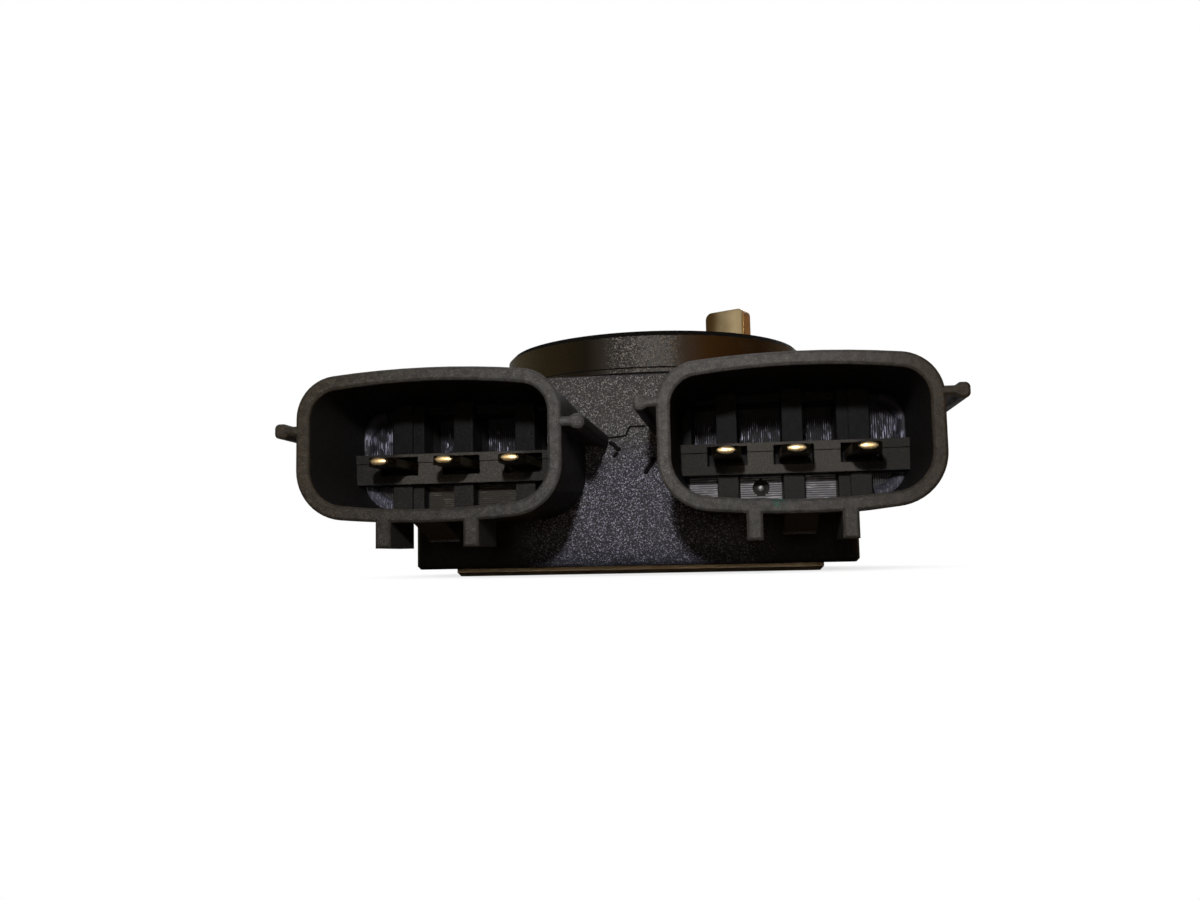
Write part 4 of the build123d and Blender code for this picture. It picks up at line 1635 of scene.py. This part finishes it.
@dataclass
class Studio:
    """The pale floor, the light and the camera of the photograph."""

    image_width: float = 1200.0
    focal_pixels: float = 1070.29
    camera_place: Point = (8.876, -109.618, 1.499)
    yaw: float = 0.1336
    pitch: float = 0.0999
    roll: float = 0.0201
    film: float = 36.0
    clip_start: float = 1.0
    floor_half: float = 3000.0
    floor_drop: float = 0.02
    shadow_start: float = 16.0
    shadow_end: float = 32.0
    shadow_share: float = 0.3
    floor_colour: Colour = (0.86, 0.85, 0.84)
    table_colour: Colour = (0.13, 0.085, 0.05)
    room: Colour = (0.075, 0.072, 0.068)
    backdrop: Span = (0.55, 0.95)
    lamps: tuple[Lamp, ...] = field(
        default_factory=lambda: (
            Lamp("key", (3.0, -112.0, 29.0), (0.0, -16.0, 9.0), 5.0, 1.0, (1.0, 0.98, 0.95)),
            Lamp("low_fill", (6.0, -170.0, 6.0), (0.0, -16.0, 4.0), 30.0, 0.12, (1.0, 0.90, 0.76)),
            Lamp("overhead", (-40.0, 90.0, 300.0), (0.0, 0.0, 10.0), 220.0, 0.35),
            Lamp("back", (70.0, 260.0, 130.0), (0.0, 0.0, 10.0), 160.0, 0.4),
            Lamp("left_card", (-150.0, -95.0, 50.0), (0.0, 0.0, 15.0), 90.0, 0.03, (1.0, 0.88, 0.70)),
            Lamp("right_card", (160.0, -80.0, 30.0), (0.0, 0.0, 15.0), 60.0, 0.04, (1.0, 0.58, 0.25)),
            Lamp("left_back", (-220.0, 90.0, 60.0), (0.0, 0.0, 12.0), 140.0, 0.07, (1.0, 0.82, 0.48)),
            Lamp("right_back", (220.0, 120.0, 60.0), (0.0, 0.0, 12.0), 140.0, 0.07, (1.0, 0.62, 0.30)),
        )
    )

    def add_camera(self) -> None:
        """Places the camera of the photograph."""
        camera = bpy.data.cameras.new("photograph")
        camera.sensor_width = self.film
        camera.lens = self.focal_pixels / self.image_width * self.film
        camera.clip_start = self.clip_start * MM
        holder = bpy.data.objects.new("photograph", camera)
        turn = Matrix.Rotation(self.yaw, 3, "Z") @ Matrix.Rotation(self.pitch, 3, "X")
        turn = turn @ Matrix.Rotation(self.roll, 3, "Y") @ Matrix.Rotation(math.pi / 2, 3, "X")
        holder.matrix_world = Matrix.Translation(Vector(self.camera_place) * MM) @ turn.to_4x4()
        bpy.context.scene.collection.objects.link(holder)
        bpy.context.scene.camera = holder

    def seen(self, web: Web, behind: Socket) -> Socket:
        """Marks the rays that see a background: the camera's own, and mirrored ones that end behind the part.

        Args:
            web: the nodes that the mask goes into.
            behind: 1 where the background is behind the part.

        Returns:
            The mask's socket.
        """
        path = web.node("ShaderNodeLightPath").outputs
        mirrored = web.maths("MAXIMUM", path["Is Glossy Ray"], path["Is Transmission Ray"])
        return web.maths("MAXIMUM", path["Is Camera Ray"], web.times(mirrored, behind))

    def mixed(self, web: Web, factor: Socket, first: Node, second: Node) -> Node:
        """Mixes two shaders.

        Args:
            web: the nodes that the mix goes into.
            factor: 0 for the first shader to 1 for the second.
            first: a shader's node.
            second: a shader's node.

        Returns:
            The mix's node.
        """
        node = web.node("ShaderNodeMixShader")
        for socket, value in zip(node.inputs, (factor, first.outputs[0], second.outputs[0])):
            web.feed(socket, value)
        return node

    def floor_material(self) -> Material:
        """Builds the nodes of the floor: white as a background, with the part's shadow close to it.

        Only the rays that see the background find it pale, so its glow doesn't light the part.

        Returns:
            The material.
        """
        web = Shading("pale_floor")
        far = web.band(web.radius(), self.shadow_start, self.shadow_end)
        behind = web.times(far, web.band(web.y, 0.0, self.shadow_end))
        pale = web.fill(web.node("ShaderNodeBsdfDiffuse"), Color=rgba(self.floor_colour))
        white = web.fill(web.node("ShaderNodeEmission"), Color=rgba(WHITE), Strength=1.0)
        table = web.fill(web.node("ShaderNodeBsdfDiffuse"), Color=rgba(self.table_colour))
        shown = self.mixed(web, web.number(far, 1.0 - self.shadow_share, 1.0), pale, white)
        surface = self.mixed(web, self.seen(web, behind), table, shown)
        web.fill(web.node("ShaderNodeOutputMaterial"), Surface=surface.outputs[0])
        return web.material

    def add_floor(self) -> None:
        """Lays the floor under the part."""
        half, level = self.floor_half * MM, -self.floor_drop * MM
        mesh = bpy.data.meshes.new("floor")
        corners = [(-half, -half, level), (half, -half, level), (half, half, level), (-half, half, level)]
        mesh.from_pydata(corners, [], [(0, 1, 2, 3)])
        mesh.materials.append(self.floor_material())
        floor = bpy.data.objects.new("floor", mesh)
        bpy.context.scene.collection.objects.link(floor)

    def add_room(self) -> None:
        """Sets the world: white where the background is seen, dim where it only lights the part."""
        world = bpy.data.worlds.new("room")
        world.use_nodes = True
        world.node_tree.nodes.clear()
        web = Web(world.node_tree)
        ray = web.node("ShaderNodeTexCoord").outputs["Generated"]
        behind = web.band(web.vector("DOT_PRODUCT", ray, (0.0, 1.0, 0.0)), *self.backdrop)
        dim = web.fill(web.node("ShaderNodeBackground"), Color=rgba(self.room), Strength=1.0)
        white = web.fill(web.node("ShaderNodeBackground"), Color=rgba(WHITE), Strength=1.0)
        surface = self.mixed(web, self.seen(web, behind), dim, white)
        web.fill(web.node("ShaderNodeOutputWorld"), Surface=surface.outputs[0])
        bpy.context.scene.world = world

    def build(self) -> None:
        """Builds the floor, the light and the camera."""
        bpy.context.scene.view_settings.view_transform = "Standard"
        self.add_floor()
        self.add_room()
        for lamp in self.lamps:
            lamp.build()
        self.add_camera()


def main() -> None:
    """Builds every sub-assembly in order and reports each piece."""
    logging.basicConfig(level=logging.INFO, format="%(name)s %(message)s")
    for assembly in (Housing(), FixedPieces(), ReturnSpring(), Rotor(), Studio()):
        assembly.build()
        log.info("%s built", type(assembly).__name__)


if __name__ == "__main__":
    main()
